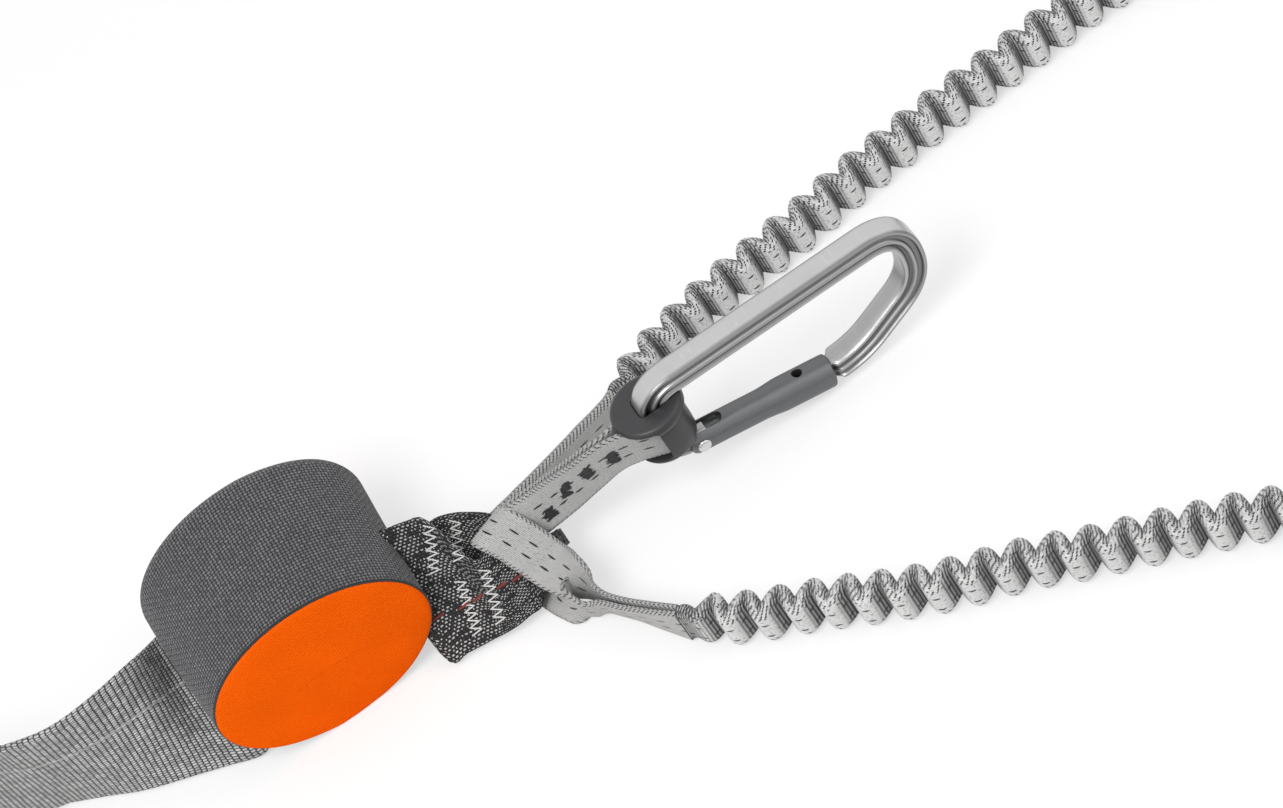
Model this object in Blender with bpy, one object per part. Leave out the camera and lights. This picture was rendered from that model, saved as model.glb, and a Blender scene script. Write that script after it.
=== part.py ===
# Via ferrata lanyard: an energy absorber pouch with its tie-in webbing, two elasticated arms that end
# in large connectors, and a short third arm with a small carabiner.
# Metres, +Z up. The origin is under the middle of the pouch, which lies on its side on the ground,
# and +X runs from the pouch along the lanyard. The pouch's end caps face -Y and +Y.

import math

import bmesh
import bpy
from mathutils import Matrix, Vector

# Clearances and overruns
gap = 0.0003
cut_overrun = 0.004
running_clearance = 0.00005
floor_gap = 0.0003

# Absorber pouch: an elliptic fabric drum with its axis along Y
pouch_half_length = 0.0367
pouch_half_height = 0.0271
pouch_depth = 0.061
pouch_flat_depth = 0.0008
sleeve_wall = 0.0016
sleeve_rim_radius = 0.007
sleeve_bulge = 0.0010
cap_thickness = 0.0018
cap_dome = 0.0022
cap_recess = 0.0012
slit_clearance = 0.0005

# Tear webbing folded in the pouch
tear_webbing_width = 0.044
tear_webbing_thickness = 0.0022
tear_fold_pitch = 0.0034
tear_fold_length = 0.021
tear_fold_height = 0.0135
tear_folds = 7

# Tie-in webbing, with a sewn eye beyond the photograph's edge
tie_in_width = 0.045
tie_in_thickness = 0.0022
tie_in_tail = 0.118
tie_in_eye_length = 0.046
tie_in_eye_height = 0.0125

# Black absorber webbing between the pouch and the hitch: a tilted slab that faces up and forward.
# Places on it are given along X, across it from its near edge, and out from its middle.
slab_tilt = math.radians(42)
slab_edge_side = 0.0404
slab_edge_height = 0.0014
absorber_width = 0.045
absorber_thickness = 0.0028
absorber_flap = 0.0016
absorber_reach = 0.081
absorber_rise = 0.0035

# Arm webbing, the same on all three arms
strap_width = 0.0150
strap_thickness = 0.0018
hitch_x = 0.0668

# Elasticated arms: webbing gathered into waves over an elastic core
wave_pitch = 0.0104
wave_swing = 0.0034
wave_half_thickness = 0.0023
wave_edge_round = 0.0015

# Carabiner of the short arm, standing in the plane y = -carabiner_side
carabiner_side = 0.0315
carabiner_bar_x = 0.1222
carabiner_length = 0.0950
carabiner_pivot_height = 0.0150
carabiner_rise = 0.0298
carabiner_half_depth = 0.0041
carabiner_half_thickness = 0.0042
carabiner_gate_radius = 0.0045
carabiner_nose_radius = 0.0055
carabiner_gate_drop = math.radians(11.8)

# Keeper of the short arm
keeper_half_length = 0.0125
keeper_half_width = 0.0145
keeper_wall = 0.0018
keeper_bar_clearance = 0.0006

# Connectors at the ends of the two arms, lying flat
connector_length = 0.113
connector_rise = 0.048
connector_half_depth = 0.0052
connector_half_thickness = 0.0050
connector_gate_radius = 0.0052
connector_nose_radius = 0.0062
connector_gate_drop = math.radians(7)
connector_height = 0.0108
terminal_length = 0.050
terminal_keeper_half_length = 0.0135
terminal_keeper_half_width = 0.0102

# Palm lever on each connector's spine
lever_length = 0.052
lever_thickness = 0.0036
lever_half_width = 0.0062
lever_lug = 0.0016
lever_travel = 0.0044
lever_spring_turns = 3

# Gate hardware
tang_half_thickness = 0.0021
rivet_radius = 0.00125
rivet_head_radius = 0.0022
rivet_head_height = 0.0006
plunger_radius = 0.0014
plunger_length = 0.0040
spring_wire_radius = 0.00030
spring_length = 0.0100
spring_turns = 6
spring_bore_radius = 0.0021

# Fineness of the round pieces
ellipse_points = 40
round_points = 16
keeper_points = 20
rivet_points = 12
wave_stations = 8

# Routes of the two elastic arms on the ground, point by point
upper_arm_route = (
    (0.1168, 0.0042), (0.1300, 0.0110), (0.1520, 0.0170), (0.1740, 0.0200), (0.1960, 0.0222),
    (0.2160, 0.0252), (0.2360, 0.0268), (0.2540, 0.0280), (0.2730, 0.0288), (0.2920, 0.0297),
    (0.3080, 0.0303), (0.3250, 0.0295), (0.3430, 0.0237), (0.3590, 0.0137), (0.3720, -0.0003),
    (0.3800, -0.0180), (0.3830, -0.0370), (0.3835, -0.0560), (0.3835, -0.0760), (0.3835, -0.0960),
    (0.3835, -0.1160), (0.3835, -0.1360), (0.3835, -0.1500),
)
lower_arm_route = (
    (0.0961, -0.0816), (0.1070, -0.0895), (0.1150, -0.0950), (0.1330, -0.1060), (0.1490, -0.1165),
    (0.1660, -0.1262), (0.1840, -0.1345), (0.1990, -0.1430), (0.2160, -0.1520), (0.2310, -0.1600),
    (0.2480, -0.1695), (0.2620, -0.1795), (0.2740, -0.1940), (0.2800, -0.2120), (0.2780, -0.2310),
    (0.2685, -0.2480), (0.2540, -0.2600), (0.2360, -0.2660), (0.2160, -0.2670), (0.1960, -0.2670),
    (0.1760, -0.2670), (0.1580, -0.2670),
)

# Colours read from the object
fabric_grey = (0.085, 0.085, 0.090)
cap_orange = (0.90, 0.16, 0.01)
webbing_grey = (0.33, 0.33, 0.33)
webbing_black = (0.018, 0.018, 0.020)
webbing_light = (0.50, 0.50, 0.50)
rubber_grey = (0.055, 0.055, 0.058)
bright_alloy = (0.74, 0.74, 0.74)
anodised_grey = (0.16, 0.16, 0.165)
steel = (0.62, 0.62, 0.62)


# Remove the starting scene
for old in list(bpy.data.objects):
    bpy.data.objects.remove(old, do_unlink=True)


def material(name, colour, roughness, metallic=0.0):
    found = bpy.data.materials.get(name)
    if found:
        return found
    made = bpy.data.materials.new(name)
    made.use_nodes = True
    shader = made.node_tree.nodes["Principled BSDF"]
    shader.inputs["Base Color"].default_value = (*colour, 1.0)
    shader.inputs["Roughness"].default_value = roughness
    shader.inputs["Metallic"].default_value = metallic
    made.diffuse_color = (*colour, 1.0)
    return made


def finish_of(kind):
    finishes = {
        "sleeve_fabric": (fabric_grey, 0.9, 0.0),
        "cap_fabric": (cap_orange, 0.8, 0.0),
        "tie_in_webbing": (webbing_grey, 0.85, 0.0),
        "absorber_webbing": (webbing_black, 0.85, 0.0),
        "arm_webbing": (webbing_light, 0.8, 0.0),
        "rubber": (rubber_grey, 0.6, 0.0),
        "bright_alloy": (bright_alloy, 0.3, 1.0),
        "anodised_alloy": (anodised_grey, 0.4, 1.0),
        "steel": (steel, 0.25, 1.0),
    }
    return material(kind, *finishes[kind])


def add_object(name, bm, kind, place=None):
    # A node from a bmesh whose points are relative to place, which becomes the object's origin
    mesh = bpy.data.meshes.new(name)
    bmesh.ops.recalc_face_normals(bm, faces=bm.faces)
    bm.to_mesh(mesh)
    bm.free()
    mesh.materials.append(finish_of(kind))
    mesh.shade_smooth()
    mesh.set_sharp_from_angle(angle=math.radians(35))
    made = bpy.data.objects.new(name, mesh)
    if place is not None:
        made.matrix_world = place
    bpy.context.scene.collection.objects.link(made)
    return made


def add_cutter(name, bm, place=None):
    made = add_object(name, bm, "steel", place)
    made.hide_render = True
    made.display_type = "WIRE"
    return made


def combine(target, piece, operation):
    modifier = target.modifiers.new(piece.name, "BOOLEAN")
    modifier.operation = operation
    modifier.solver = "EXACT"
    modifier.object = piece


def cut(target, cutter):
    combine(target, cutter, "DIFFERENCE")


def loft(bm, rings, closed=False):
    # Joins rings of points into one closed skin, with flat ends unless it closes on itself
    loops = [[bm.verts.new(point) for point in ring] for ring in rings]
    pairs = list(zip(loops, loops[1:]))
    if closed:
        pairs.append((loops[-1], loops[0]))
    count = len(loops[0])
    for first, second in pairs:
        for i in range(count):
            j = (i + 1) % count
            bm.faces.new((first[i], first[j], second[j], second[i]))
    if not closed:
        bm.faces.new(list(reversed(loops[0])))
        bm.faces.new(loops[-1])
    return bm


def smooth_path(points, steps):
    # Catmull-Rom curve through the points
    vectors = [Vector(p) for p in points]
    out = []
    for i in range(len(vectors) - 1):
        before = vectors[max(i - 1, 0)]
        first = vectors[i]
        second = vectors[i + 1]
        after = vectors[min(i + 2, len(vectors) - 1)]
        for k in range(steps):
            t = k / steps
            out.append(
                0.5 * (
                    2 * first
                    + (second - before) * t
                    + (2 * before - 5 * first + 4 * second - after) * t * t
                    + (3 * first - before - 3 * second + after) * t * t * t
                )
            )
    out.append(vectors[-1])
    return out


def tangents(points, closed=False):
    out = []
    last = len(points) - 1
    for i in range(len(points)):
        before = points[i - 1] if closed or i > 0 else points[0]
        after = points[(i + 1) % len(points)] if closed or i < last else points[last]
        out.append((after - before).normalized())
    return out


def strip_rings(centres, sides, half_width, thickness, closed=False):
    # Rings of a flat webbing strip: sides are its width directions, trued up to the path
    rings = []
    corner_shares = ((-1, -1), (1, -1), (1, 1), (-1, 1))
    for centre, tangent, side in zip(centres, tangents(centres, closed), sides):
        normal = side.cross(tangent).normalized()
        true_side = tangent.cross(normal).normalized()
        rings.append([
            centre + true_side * (half_width * w) + normal * (thickness / 2 * h)
            for w, h in corner_shares
        ])
    return rings


def add_strip(name, centres, sides, half_width, thickness, kind, closed=False):
    bm = bmesh.new()
    loft(bm, strip_rings(centres, sides, half_width, thickness, closed), closed)
    return add_object(name, bm, kind)


def add_box(bm, low, high):
    made = bmesh.ops.create_cube(bm, size=1.0)
    size = Vector(high) - Vector(low)
    centre = (Vector(high) + Vector(low)) / 2
    bmesh.ops.scale(bm, vec=size, verts=made["verts"])
    bmesh.ops.translate(bm, vec=centre, verts=made["verts"])


def add_rod(bm, start, end, radius, end_radius=None, sides=round_points):
    # A round bar from start to end
    start = Vector(start)
    end = Vector(end)
    axis = end - start
    turn = axis.to_track_quat("Z", "Y").to_matrix().to_4x4()
    place = Matrix.Translation((start + end) / 2) @ turn
    bmesh.ops.create_cone(
        bm, cap_ends=True, segments=sides, radius1=radius,
        radius2=radius if end_radius is None else end_radius, depth=axis.length, matrix=place,
    )


# Absorber pouch

pouch_centre_height = pouch_half_height - pouch_flat_depth


def pouch_ring(y, inset):
    bulge = sleeve_bulge * (0.5 + y / pouch_depth)
    half_length = pouch_half_length + bulge - inset
    half_height = pouch_half_height - inset
    ring = []
    for i in range(ellipse_points):
        angle = 2 * math.pi * i / ellipse_points
        z = pouch_centre_height + half_height * math.sin(angle)
        ring.append(Vector((half_length * math.cos(angle), y, max(z, 0))))
    return ring


def cap_ring(y, share):
    grow = sleeve_wall + gap
    half_length = (pouch_half_length - grow) * share
    half_height = (pouch_half_height - grow) * share
    return [
        Vector((
            half_length * math.cos(2 * math.pi * i / ellipse_points),
            y,
            pouch_centre_height + half_height * math.sin(2 * math.pi * i / ellipse_points),
        ))
        for i in range(ellipse_points)
    ]


def add_sleeve(slits):
    front = -pouch_depth / 2
    back = pouch_depth / 2
    rings = [pouch_ring(front, sleeve_wall * 0.5), pouch_ring(front + sleeve_wall * 0.5, 0)]
    rings.append(pouch_ring(0, 0))
    quarter_shares = (0.0, 0.33, 0.67, 1.0)
    for share in quarter_shares:
        angle = share * math.pi / 2
        y = back - sleeve_rim_radius * (1 - math.sin(angle))
        rings.append(pouch_ring(y, sleeve_rim_radius * (1 - math.cos(angle))))
    inner_radius = sleeve_rim_radius - sleeve_wall
    for share in reversed(quarter_shares):
        angle = share * math.pi / 2
        y = back - sleeve_rim_radius + inner_radius * math.sin(angle)
        rings.append(pouch_ring(y, sleeve_rim_radius - inner_radius * math.cos(angle)))
    rings.append(pouch_ring(0, sleeve_wall))
    rings.append(pouch_ring(front, sleeve_wall))
    bm = loft(bmesh.new(), rings, closed=True)
    sleeve = add_object("pouch_sleeve", bm, "sleeve_fabric")
    for slit in slits:
        cut(sleeve, slit)
    return sleeve


def add_cap(name, face, outward, size_share):
    # A slightly domed end cap, flat inside, its face turned the way outward says
    dome_shares = ((1.0, 0.0), (0.95, 0.38), (0.75, 0.72), (0.40, 1.0))
    inside = face - outward * (cap_thickness + cap_recess)
    edge = face - outward * cap_recess
    rings = [cap_ring(inside, size_share)]
    for width_share, dome_share in dome_shares:
        rings.append(cap_ring(edge + outward * cap_dome * dome_share, width_share * size_share))
    return add_object(name, loft(bmesh.new(), rings), "cap_fabric")


def add_tear_webbing():
    # Folds lie on each other, each turning into the next at the ends
    centres = []
    turn_shares = (-0.5, -0.25, 0.0, 0.25, 0.5)
    for fold in range(tear_folds):
        height = tear_fold_height + fold * tear_fold_pitch
        direction = 1 if fold % 2 == 0 else -1
        end = direction * tear_fold_length / 2
        if fold == 0:
            centres.append(Vector((-end, 0, height)))
        if fold == tear_folds - 1:
            centres.append(Vector((end, 0, height)))
            break
        for share in turn_shares:
            angle = share * math.pi
            bend = tear_fold_pitch / 2
            centres.append(Vector((
                end + direction * bend * math.cos(angle), 0, height + bend + bend * math.sin(angle),
            )))
    sides = [Vector((0, 1, 0))] * len(centres)
    add_strip("tear_webbing", centres, sides, tear_webbing_width / 2, tear_webbing_thickness, "tie_in_webbing")


def tilted_side(tilt, yaw):
    return Vector((math.cos(tilt) * math.sin(yaw), math.cos(tilt) * math.cos(yaw), math.sin(tilt)))


def edge_rings(nears, fars, thickness):
    # Sections of a flat strip given by its two edges
    centres = [(near + far) / 2 for near, far in zip(nears, fars)]
    rings = []
    for near, far, head in zip(nears, fars, tangents(centres)):
        out = (far - near).cross(head).normalized() * (thickness / 2)
        rings.append([near - out, far - out, far + out, near + out])
    return rings


def tie_in_rings():
    # Leaves the pouch tilted, stands up on its edge, and turns back beside itself as the sewn eye.
    # Both edges, in webbing widths: along, aside and up.
    near_shares = (
        (-0.33, -0.36, 0.20), (-0.49, -0.43, 0.21), (-0.60, -0.53, 0.12), (-0.73, -0.545, 0.032),
        (-0.98, -0.445, 0.032), (-1.27, -0.32, 0.032), (-1.555, -0.19, 0.032), (-1.80, -0.035, 0.032),
        (-2.045, 0.11, 0.032),
    )
    far_shares = (
        (-0.31, 0.355, 0.78), (-0.49, 0.355, 0.77), (-0.62, 0.335, 0.745), (-0.755, 0.32, 0.71),
        (-0.935, 0.31, 0.665), (-1.098, -0.022, 0.969), (-1.458, -0.136, 1.024), (-1.776, -0.136, 1.024),
        (-2.08, -0.03, 1.015),
    )
    nears = smooth_path([tie_in_width * Vector(place) for place in near_shares], 6)
    fars = smooth_path([tie_in_width * Vector(place) for place in far_shares], 6)
    heading = nears[-1] - nears[-2]
    heading = Vector((heading.x, heading.y, 0)).normalized()
    aside = Vector((heading.y, -heading.x, 0))
    middle = (nears[-1] + fars[-1]) / 2
    middle.z = floor_gap + tie_in_width / 2
    straight = tie_in_tail - tie_in_eye_height / 2
    centres = [middle + heading * (straight * share) for share in (0.3, 0.65, 1.0)]
    bend = (tie_in_eye_height - tie_in_thickness) / 2
    for angle in (-60, -30, 0, 30, 60, 90):
        angle = math.radians(angle)
        offset = heading * (bend * math.cos(angle)) + aside * (bend + bend * math.sin(angle))
        centres.append(middle + heading * straight + offset)
    widest = 2 * bend
    closed_offset = tie_in_thickness + 2 * gap
    back_shares = ((0.35, 1.0), (0.62, 0.72), (0.85, 0.18), (1.0, 0.0), (1.25, 0.0), (1.5, 0.0))
    for run_share, width_share in back_shares:
        offset = closed_offset + (widest - closed_offset) * width_share
        run = straight - tie_in_eye_length * run_share
        centres.append(middle + heading * run + aside * offset)
    half = Vector((0, 0, tie_in_width / 2))
    nears += [centre - half for centre in centres]
    fars += [centre + half for centre in centres]
    return rest_on_ground(edge_rings(nears, fars, tie_in_thickness))


slab_out = Vector((0, -math.sin(slab_tilt), math.cos(slab_tilt)))


def on_slab(x, across, out):
    edge = Vector((x, -slab_edge_side, slab_edge_height))
    return edge + tilted_side(slab_tilt, 0) * across + slab_out * out


def absorber_rings(grow, first, last):
    # Front ply from the pouch, round the eye's end, and back behind itself.
    # Each row: along, across, width, out, flap, all as shares of the sizes above.
    front_shares = (
        (0.20, 0.78, 0.80, -1.00, 0), (0.36, 0.75, 0.70, -0.60, 0), (0.385, 0.55, 0.99, -0.44, 1),
        (0.46, 0.54, 1.00, -0.13, 1), (0.56, 0.51, 0.98, 0.1, 1), (0.62, 0.47, 0.93, 0.4, 1),
        (0.68, 0.272, 0.544, 0.75, 0.6), (0.74, 0.278, 0.54, 0.95, 0), (0.80, 0.29, 0.54, 1.0, 0),
        (0.86, 0.36, 0.44, 1.0, 0), (0.92, 0.33, 0.18, 1.0, 0), (0.96, 0.32, 0.14, 1.0, 0),
        (0.985, 0.315, 0.13, 0.86, 0), (1.0, 0.315, 0.13, 0.4, 0), (1.0, 0.315, 0.13, -0.5, 0),
    )
    back_shares = (
        (0.985, 0.315, 0.13, -1.6, 0), (0.95, 0.33, 0.15, -2.0, 0), (0.88, 0.42, 0.32, -2.0, 0),
        (0.83, 0.50, 0.44, -2.0, 0), (0.76, 0.54, 0.56, -2.0, 0), (0.70, 0.57, 0.62, -1.7, 0),
        (0.64, 0.60, 0.62, -1.35, 0),
    )
    half = absorber_thickness / 2 + grow
    stations = []
    for along, across, width, out, flap in front_shares + back_shares:
        depth = absorber_rise * out
        stations.append((absorber_reach * along, absorber_width * across, absorber_width * width / 2, depth, flap))
    closed_depth = -(absorber_thickness + 2 * gap)
    for along in (0.59, 0.53):
        stations.append((absorber_reach * along, absorber_width * 0.60, absorber_width * 0.30, closed_depth, 0))
    rings = []
    middles = [on_slab(x, w, out) for x, w, width, out, flap in stations]
    heads = tangents(middles)
    for station, middle, head in list(zip(stations, middles, heads))[first:last]:
        side = tilted_side(slab_tilt, 0)
        flat = Vector((head.x, 0, 0)) + slab_out * head.dot(slab_out)
        normal = flat.cross(side).normalized()
        width = station[2] + grow
        lift = half + absorber_flap * station[4]
        section = ((-width, -half), (width, -half), (width, lift), (width * 0.14, lift), (width * 0.02, half),
                   (-width, half))
        rings.append([middle + side * across + normal * out for across, out in section])
    return rings


def rest_on_ground(rings):
    # Raises each section that would dip below the ground
    out = []
    for ring in rings:
        lift = max(floor_gap - min(point.z for point in ring), 0)
        out.append([point + Vector((0, 0, lift)) for point in ring])
    return out


def slit_round(name, rings):
    # A cutter that follows a webbing's sections and clears each by the same amount, and its inner end
    wider = []
    for ring in rings:
        middle = sum(ring, Vector((0, 0, 0))) / len(ring)
        across = (ring[1] - ring[0]).normalized()
        out = (ring[-1] - ring[0]).normalized()
        grown = []
        for point in ring:
            offset = point - middle
            grown.append(
                point + across * math.copysign(slit_clearance, offset.dot(across))
                + out * math.copysign(slit_clearance, offset.dot(out))
            )
        wider.append(grown)
    inward = (wider[0][0] - wider[1][0]).normalized()
    wider.insert(0, [point + inward * slit_clearance for point in wider[0]])
    return add_cutter(name, loft(bmesh.new(), wider))


def add_webbings():
    rings = tie_in_rings()
    bm = bmesh.new()
    loft(bm, rings)
    add_object("tie_in_webbing", bm, "tie_in_webbing")
    slit_span = 25
    slits = [slit_round("tie_in_slit", rings[:slit_span])]
    bm = bmesh.new()
    loft(bm, absorber_rings(0, 0, None))
    add_object("absorber_webbing", bm, "absorber_webbing")
    slits.append(slit_round("absorber_slit", absorber_rings(0, 0, 6)))
    return slits


# Hitch and arm straps


def arm_frame(route):
    first = Vector((*route[0], 0))
    second = Vector((*route[1], 0))
    forward = (second - first).normalized()
    left = Vector((-forward.y, forward.x, 0))
    return first, forward, left


def add_lower_strap():
    # One strip: from the arm, up over the hitch, round its far edge, back through the eye, and to the arm
    first, forward, left = arm_frame(lower_arm_route)
    start = first - forward * gap
    ply = strap_thickness / 2 + gap
    half = strap_width / 2
    up = Vector((0, 0, 1))
    fold = (Vector((1, 0, 0)) + tilted_side(slab_tilt, 0) * 0.3).normalized()
    over = absorber_rise + absorber_thickness / 2 + 3 * gap + strap_thickness / 2
    under = absorber_rise - absorber_thickness - strap_thickness - 2 * gap
    # Beside the arm, in strap widths: back along its heading, left of it, up, and how far turned upright
    far_shares = (
        (0.0, 0.0, 0.5, 1.0, 0.0), (0.59, 0.19, 0.5, 1.0, 0.2), (1.2, 0.41, 0.5, 1.0, 0.3),
        (1.70, 0.62, 0.5, 1.0, 0.3), (2.05, 0.84, 0.53, 0.86, 0.2), (2.42, 1.04, 0.70, 0.50, 0.0),
    )
    near_shares = (
        (2.76, 1.04, 0.30, 0.50, 0.0), (2.46, 0.78, 0.48, 0.86, 0.0), (2.13, 0.62, 0.5, 0.96, 0.2),
        (1.76, 0.60, 0.5, 1.0, 0.3), (1.2, 0.41, 0.5, 1.0, 0.3), (0.59, 0.19, 0.5, 1.0, 0.2),
        (0.0, 0.0, 0.5, 1.0, 0.0),
    )
    # On the slab, in half strap widths along and strap widths across, and out from under to over
    over_shares = (
        (0.74, 0.62, 1.0, 0.04), (0.47, 0.99, 1.0, 0.0), (0.2, 1.33, 1.0, 0.0),
        (-0.13, 1.71, 1.0, 0.0), (-0.40, 1.92, 0.82, 0.0), (-0.50, 2.00, 0.5, 0.0),
    )
    under_shares = (
        (-0.40, 1.92, 0.18, 0.0), (-0.13, 1.71, 0.0, 0.0), (0.05, 1.33, 0.0, 0.0), (0.16, 0.99, 0.0, 0.0),
        (0.24, 0.68, 0.0, 0.0), (0.34, 0.26, -0.1, 0.0),
    )

    def beside_arm(rows, ply_side):
        for back, aside, height, turned, lean in rows:
            place = start - forward * (strap_width * back) + left * (strap_width * aside + ply_side)
            width = fold * (1 - turned) + (up - Vector((0, lean, 0))) * turned
            stations.append((Vector((place.x, place.y, strap_width * height + floor_gap)), width))

    def across_slab(rows):
        for along, across, out, turned in rows:
            out = under + (over - under) * out
            place = on_slab(hitch_x + half * along, strap_width * across, out)
            stations.append((place, fold * (1 - turned) + up * turned))

    stations = []
    beside_arm(far_shares, ply)
    across_slab(over_shares)
    across_slab(under_shares)
    beside_arm(near_shares, -ply)
    centres = smooth_path([s[0] for s in stations], 3)
    sides = [side.normalized() for side in smooth_path([s[1].normalized() for s in stations], 3)]
    rings = strip_rings(centres, sides, half, strap_thickness)
    add_object("lower_arm_strap", loft(bmesh.new(), rest_on_ground(rings)), "arm_webbing")


def add_upper_strap():
    # Stands on its edge behind the hitch and runs to the arm's first wave
    first, forward, left = arm_frame(upper_arm_route)
    end = first - forward * gap
    level = strap_width / 2 + floor_gap
    start_x = hitch_x - strap_width * 0.2
    behind = -slab_edge_side + absorber_width * 0.67
    station_shares = ((0.0, 0.0), (0.13, 0.12), (0.36, 0.31), (0.58, 0.52), (0.76, 0.70))
    centres = [
        Vector((start_x + (end.x - start_x) * along, behind + (end.y - behind) * aside, level))
        for along, aside in station_shares
    ]
    centres.append(Vector((*(end - forward * strap_width * 0.3).xy, level)))
    centres.append(Vector((*end.xy, level)))
    centres = smooth_path(centres, 3)
    sides = [Vector((0, 0, 1))] * len(centres)
    add_strip("upper_arm_strap", centres, sides, strap_width / 2, 2 * strap_thickness, "arm_webbing")


ply_offset = strap_thickness / 2 + gap
loop_radius = carabiner_half_thickness * 1.45 + gap + strap_thickness / 2


def add_looped_strap(name, stations, turn_middle, outward, radius, openings, steps):
    # Two plies of one strap, side by side along the stations and joined by a turn round a bar
    middles = [s[0] for s in stations]
    widths = [s[1] for s in stations]
    middles = smooth_path(middles, steps)
    widths = [width.normalized() for width in smooth_path(widths, steps)]
    spread = [v.x for v in smooth_path([(opening, 0, 0) for opening in openings], steps)]
    heads = tangents(middles)
    normals = [width.cross(head).normalized() for width, head in zip(widths, heads)]
    first = [m + n * (ply_offset * o) for m, n, o in zip(middles, normals, spread)]
    second = [m - n * (ply_offset * o) for m, n, o in zip(middles, normals, spread)]
    across = normals[-1]
    turn = []
    for angle in (90, 60, 30, 0, -30, -60, -90):
        angle = math.radians(angle)
        turn.append(turn_middle + outward * (radius * math.cos(angle)) + across * (radius * math.sin(angle)))
    path = first + turn + list(reversed(second)) + [middles[0] - heads[0] * ply_offset]
    sides = widths + [widths[-1]] * len(turn) + list(reversed(widths)) + [widths[0]]
    add_strip(name, path, sides, strap_width / 2, strap_thickness, "arm_webbing", closed=True)


keeper_middle_height = carabiner_pivot_height + carabiner_rise * 0.55
bar_bend = carabiner_half_depth * 0.1


def add_short_strap():
    # From inside the eye to its turn round the carabiner's bar
    up = Vector((0, 0, 1))
    middle = Vector((carabiner_bar_x + bar_bend, -carabiner_side, keeper_middle_height))
    start = on_slab(hitch_x + strap_width * 0.76, strap_width * 1.66, absorber_rise - 0.7 * absorber_thickness)
    span = middle - start
    route_shares = ((0.0, 0.0, 0.0, 0.16), (0.12, 0.12, 0.15, 0.14), (0.36, 0.52, 0.55, 0.06),
                    (0.55, 0.85, 0.88, 0.0), (0.67, 1.0, 1.0, 0.0), (0.80, 1.0, 1.0, 0.0))
    stations = [
        (start + Vector((span.x * a, span.y * b, span.z * c)), up + Vector((0, lean, 0)))
        for a, b, c, lean in route_shares
    ]
    openings = (1.3, 1.15, 1.1, 1.0, 1.2, 2.6)
    add_looped_strap("short_arm_strap", stations, middle, Vector((1, 0, 0)), loop_radius, openings, 4)


# Elastic arms


def resample(points, step):
    out = [points[0]]
    left = step
    for first, second in zip(points, points[1:]):
        length = (second - first).length
        direction = (second - first) / length if length else Vector((1, 0, 0))
        at = left
        while at <= length:
            out.append(first + direction * at)
            at += step
        left = at - length
    return out


def wave_reach(phase, swing):
    # How far the left side of a thick wave stands out at a phase
    steps = 24
    tops = []
    for i in range(steps + 1):
        shift = wave_half_thickness * (2 * i / steps - 1)
        rise = math.sqrt(max(wave_half_thickness ** 2 - shift ** 2, 0))
        tops.append(rise + swing * math.cos(phase + 2 * math.pi * shift / wave_pitch))
    return max(tops)


def add_arm(name, route):
    # Webbing standing on its edge, swung to and fro along its route in even waves
    level = strap_width / 2 + floor_gap
    line = smooth_path([(x, y, level) for x, y in route], 8)
    length = sum((b - a).length for a, b in zip(line, line[1:]))
    points = spaced_evenly(line, round(length * wave_stations / wave_pitch))
    heads = tangents(points)
    half = strap_width / 2
    shoulder = half - wave_edge_round
    rings = []
    for i, (point, head) in enumerate(zip(points, heads)):
        side = Vector((-head.y, head.x, 0))
        fade = min(min(i, len(points) - 1 - i) / wave_stations, 1.0)
        phase = 2 * math.pi * i / wave_stations
        left = wave_reach(phase, wave_swing * fade)
        right = -wave_reach(phase + math.pi, wave_swing * fade)
        inset = (left - right) * 0.22
        section = ((right, -half), (left, -half), (left, shoulder), (left - inset, half), (right + inset, half),
                   (right, shoulder))
        rings.append([point + side * across + Vector((0, 0, up)) for across, up in section])
    return add_object(name, loft(bmesh.new(), rings), "arm_webbing")


# Connectors: the small carabiner and the two large ones share one construction.
# In their own frame u runs from the strap's bar to the far end, v from the gate to the spine and
# w is square to both, so a shape point is (u, w, v).


def rounded_path(corners, radii, steps):
    # Straight runs joined by curves that start and end a radius away from each corner
    points = [Vector(corners[0])]
    for before, corner, after, radius in zip(corners, corners[1:], corners[2:], radii):
        corner = Vector(corner)
        first = corner + (Vector(before) - corner).normalized() * radius
        second = corner + (Vector(after) - corner).normalized() * radius
        for k in range(steps + 1):
            t = k / steps
            points.append(first * (1 - t) ** 2 + corner * 2 * t * (1 - t) + second * t ** 2)
    points.append(Vector(corners[-1]))
    return points


def spaced_evenly(points, count):
    total = sum((b - a).length for a, b in zip(points, points[1:]))
    out = resample(points, total / count * 0.9999)
    return out[:count + 1]


grooved_profile_shares = (
    (1, 0.62), (1, -0.62), (0.82, -1), (0.46, -0.72), (0.02, -1), (-0.46, -0.74), (-0.80, -0.92),
    (-1, -0.5), (-1, 0.5), (-0.80, 0.92), (-0.46, 0.74), (0.02, 1), (0.46, 0.72), (0.82, 1),
)
plain_profile_shares = (
    (1, 0.5), (1, -0.5), (0.6, -1), (-0.6, -1), (-1, -0.5), (-1, 0.5), (-0.6, 1), (0.6, 1),
)
outline_profile_shares = (
    (1, 0.66), (1, -0.66), (0.84, -1), (-0.82, -1), (-1, -0.56), (-1, 0.56), (-0.82, 1), (0.84, 1),
)


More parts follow.
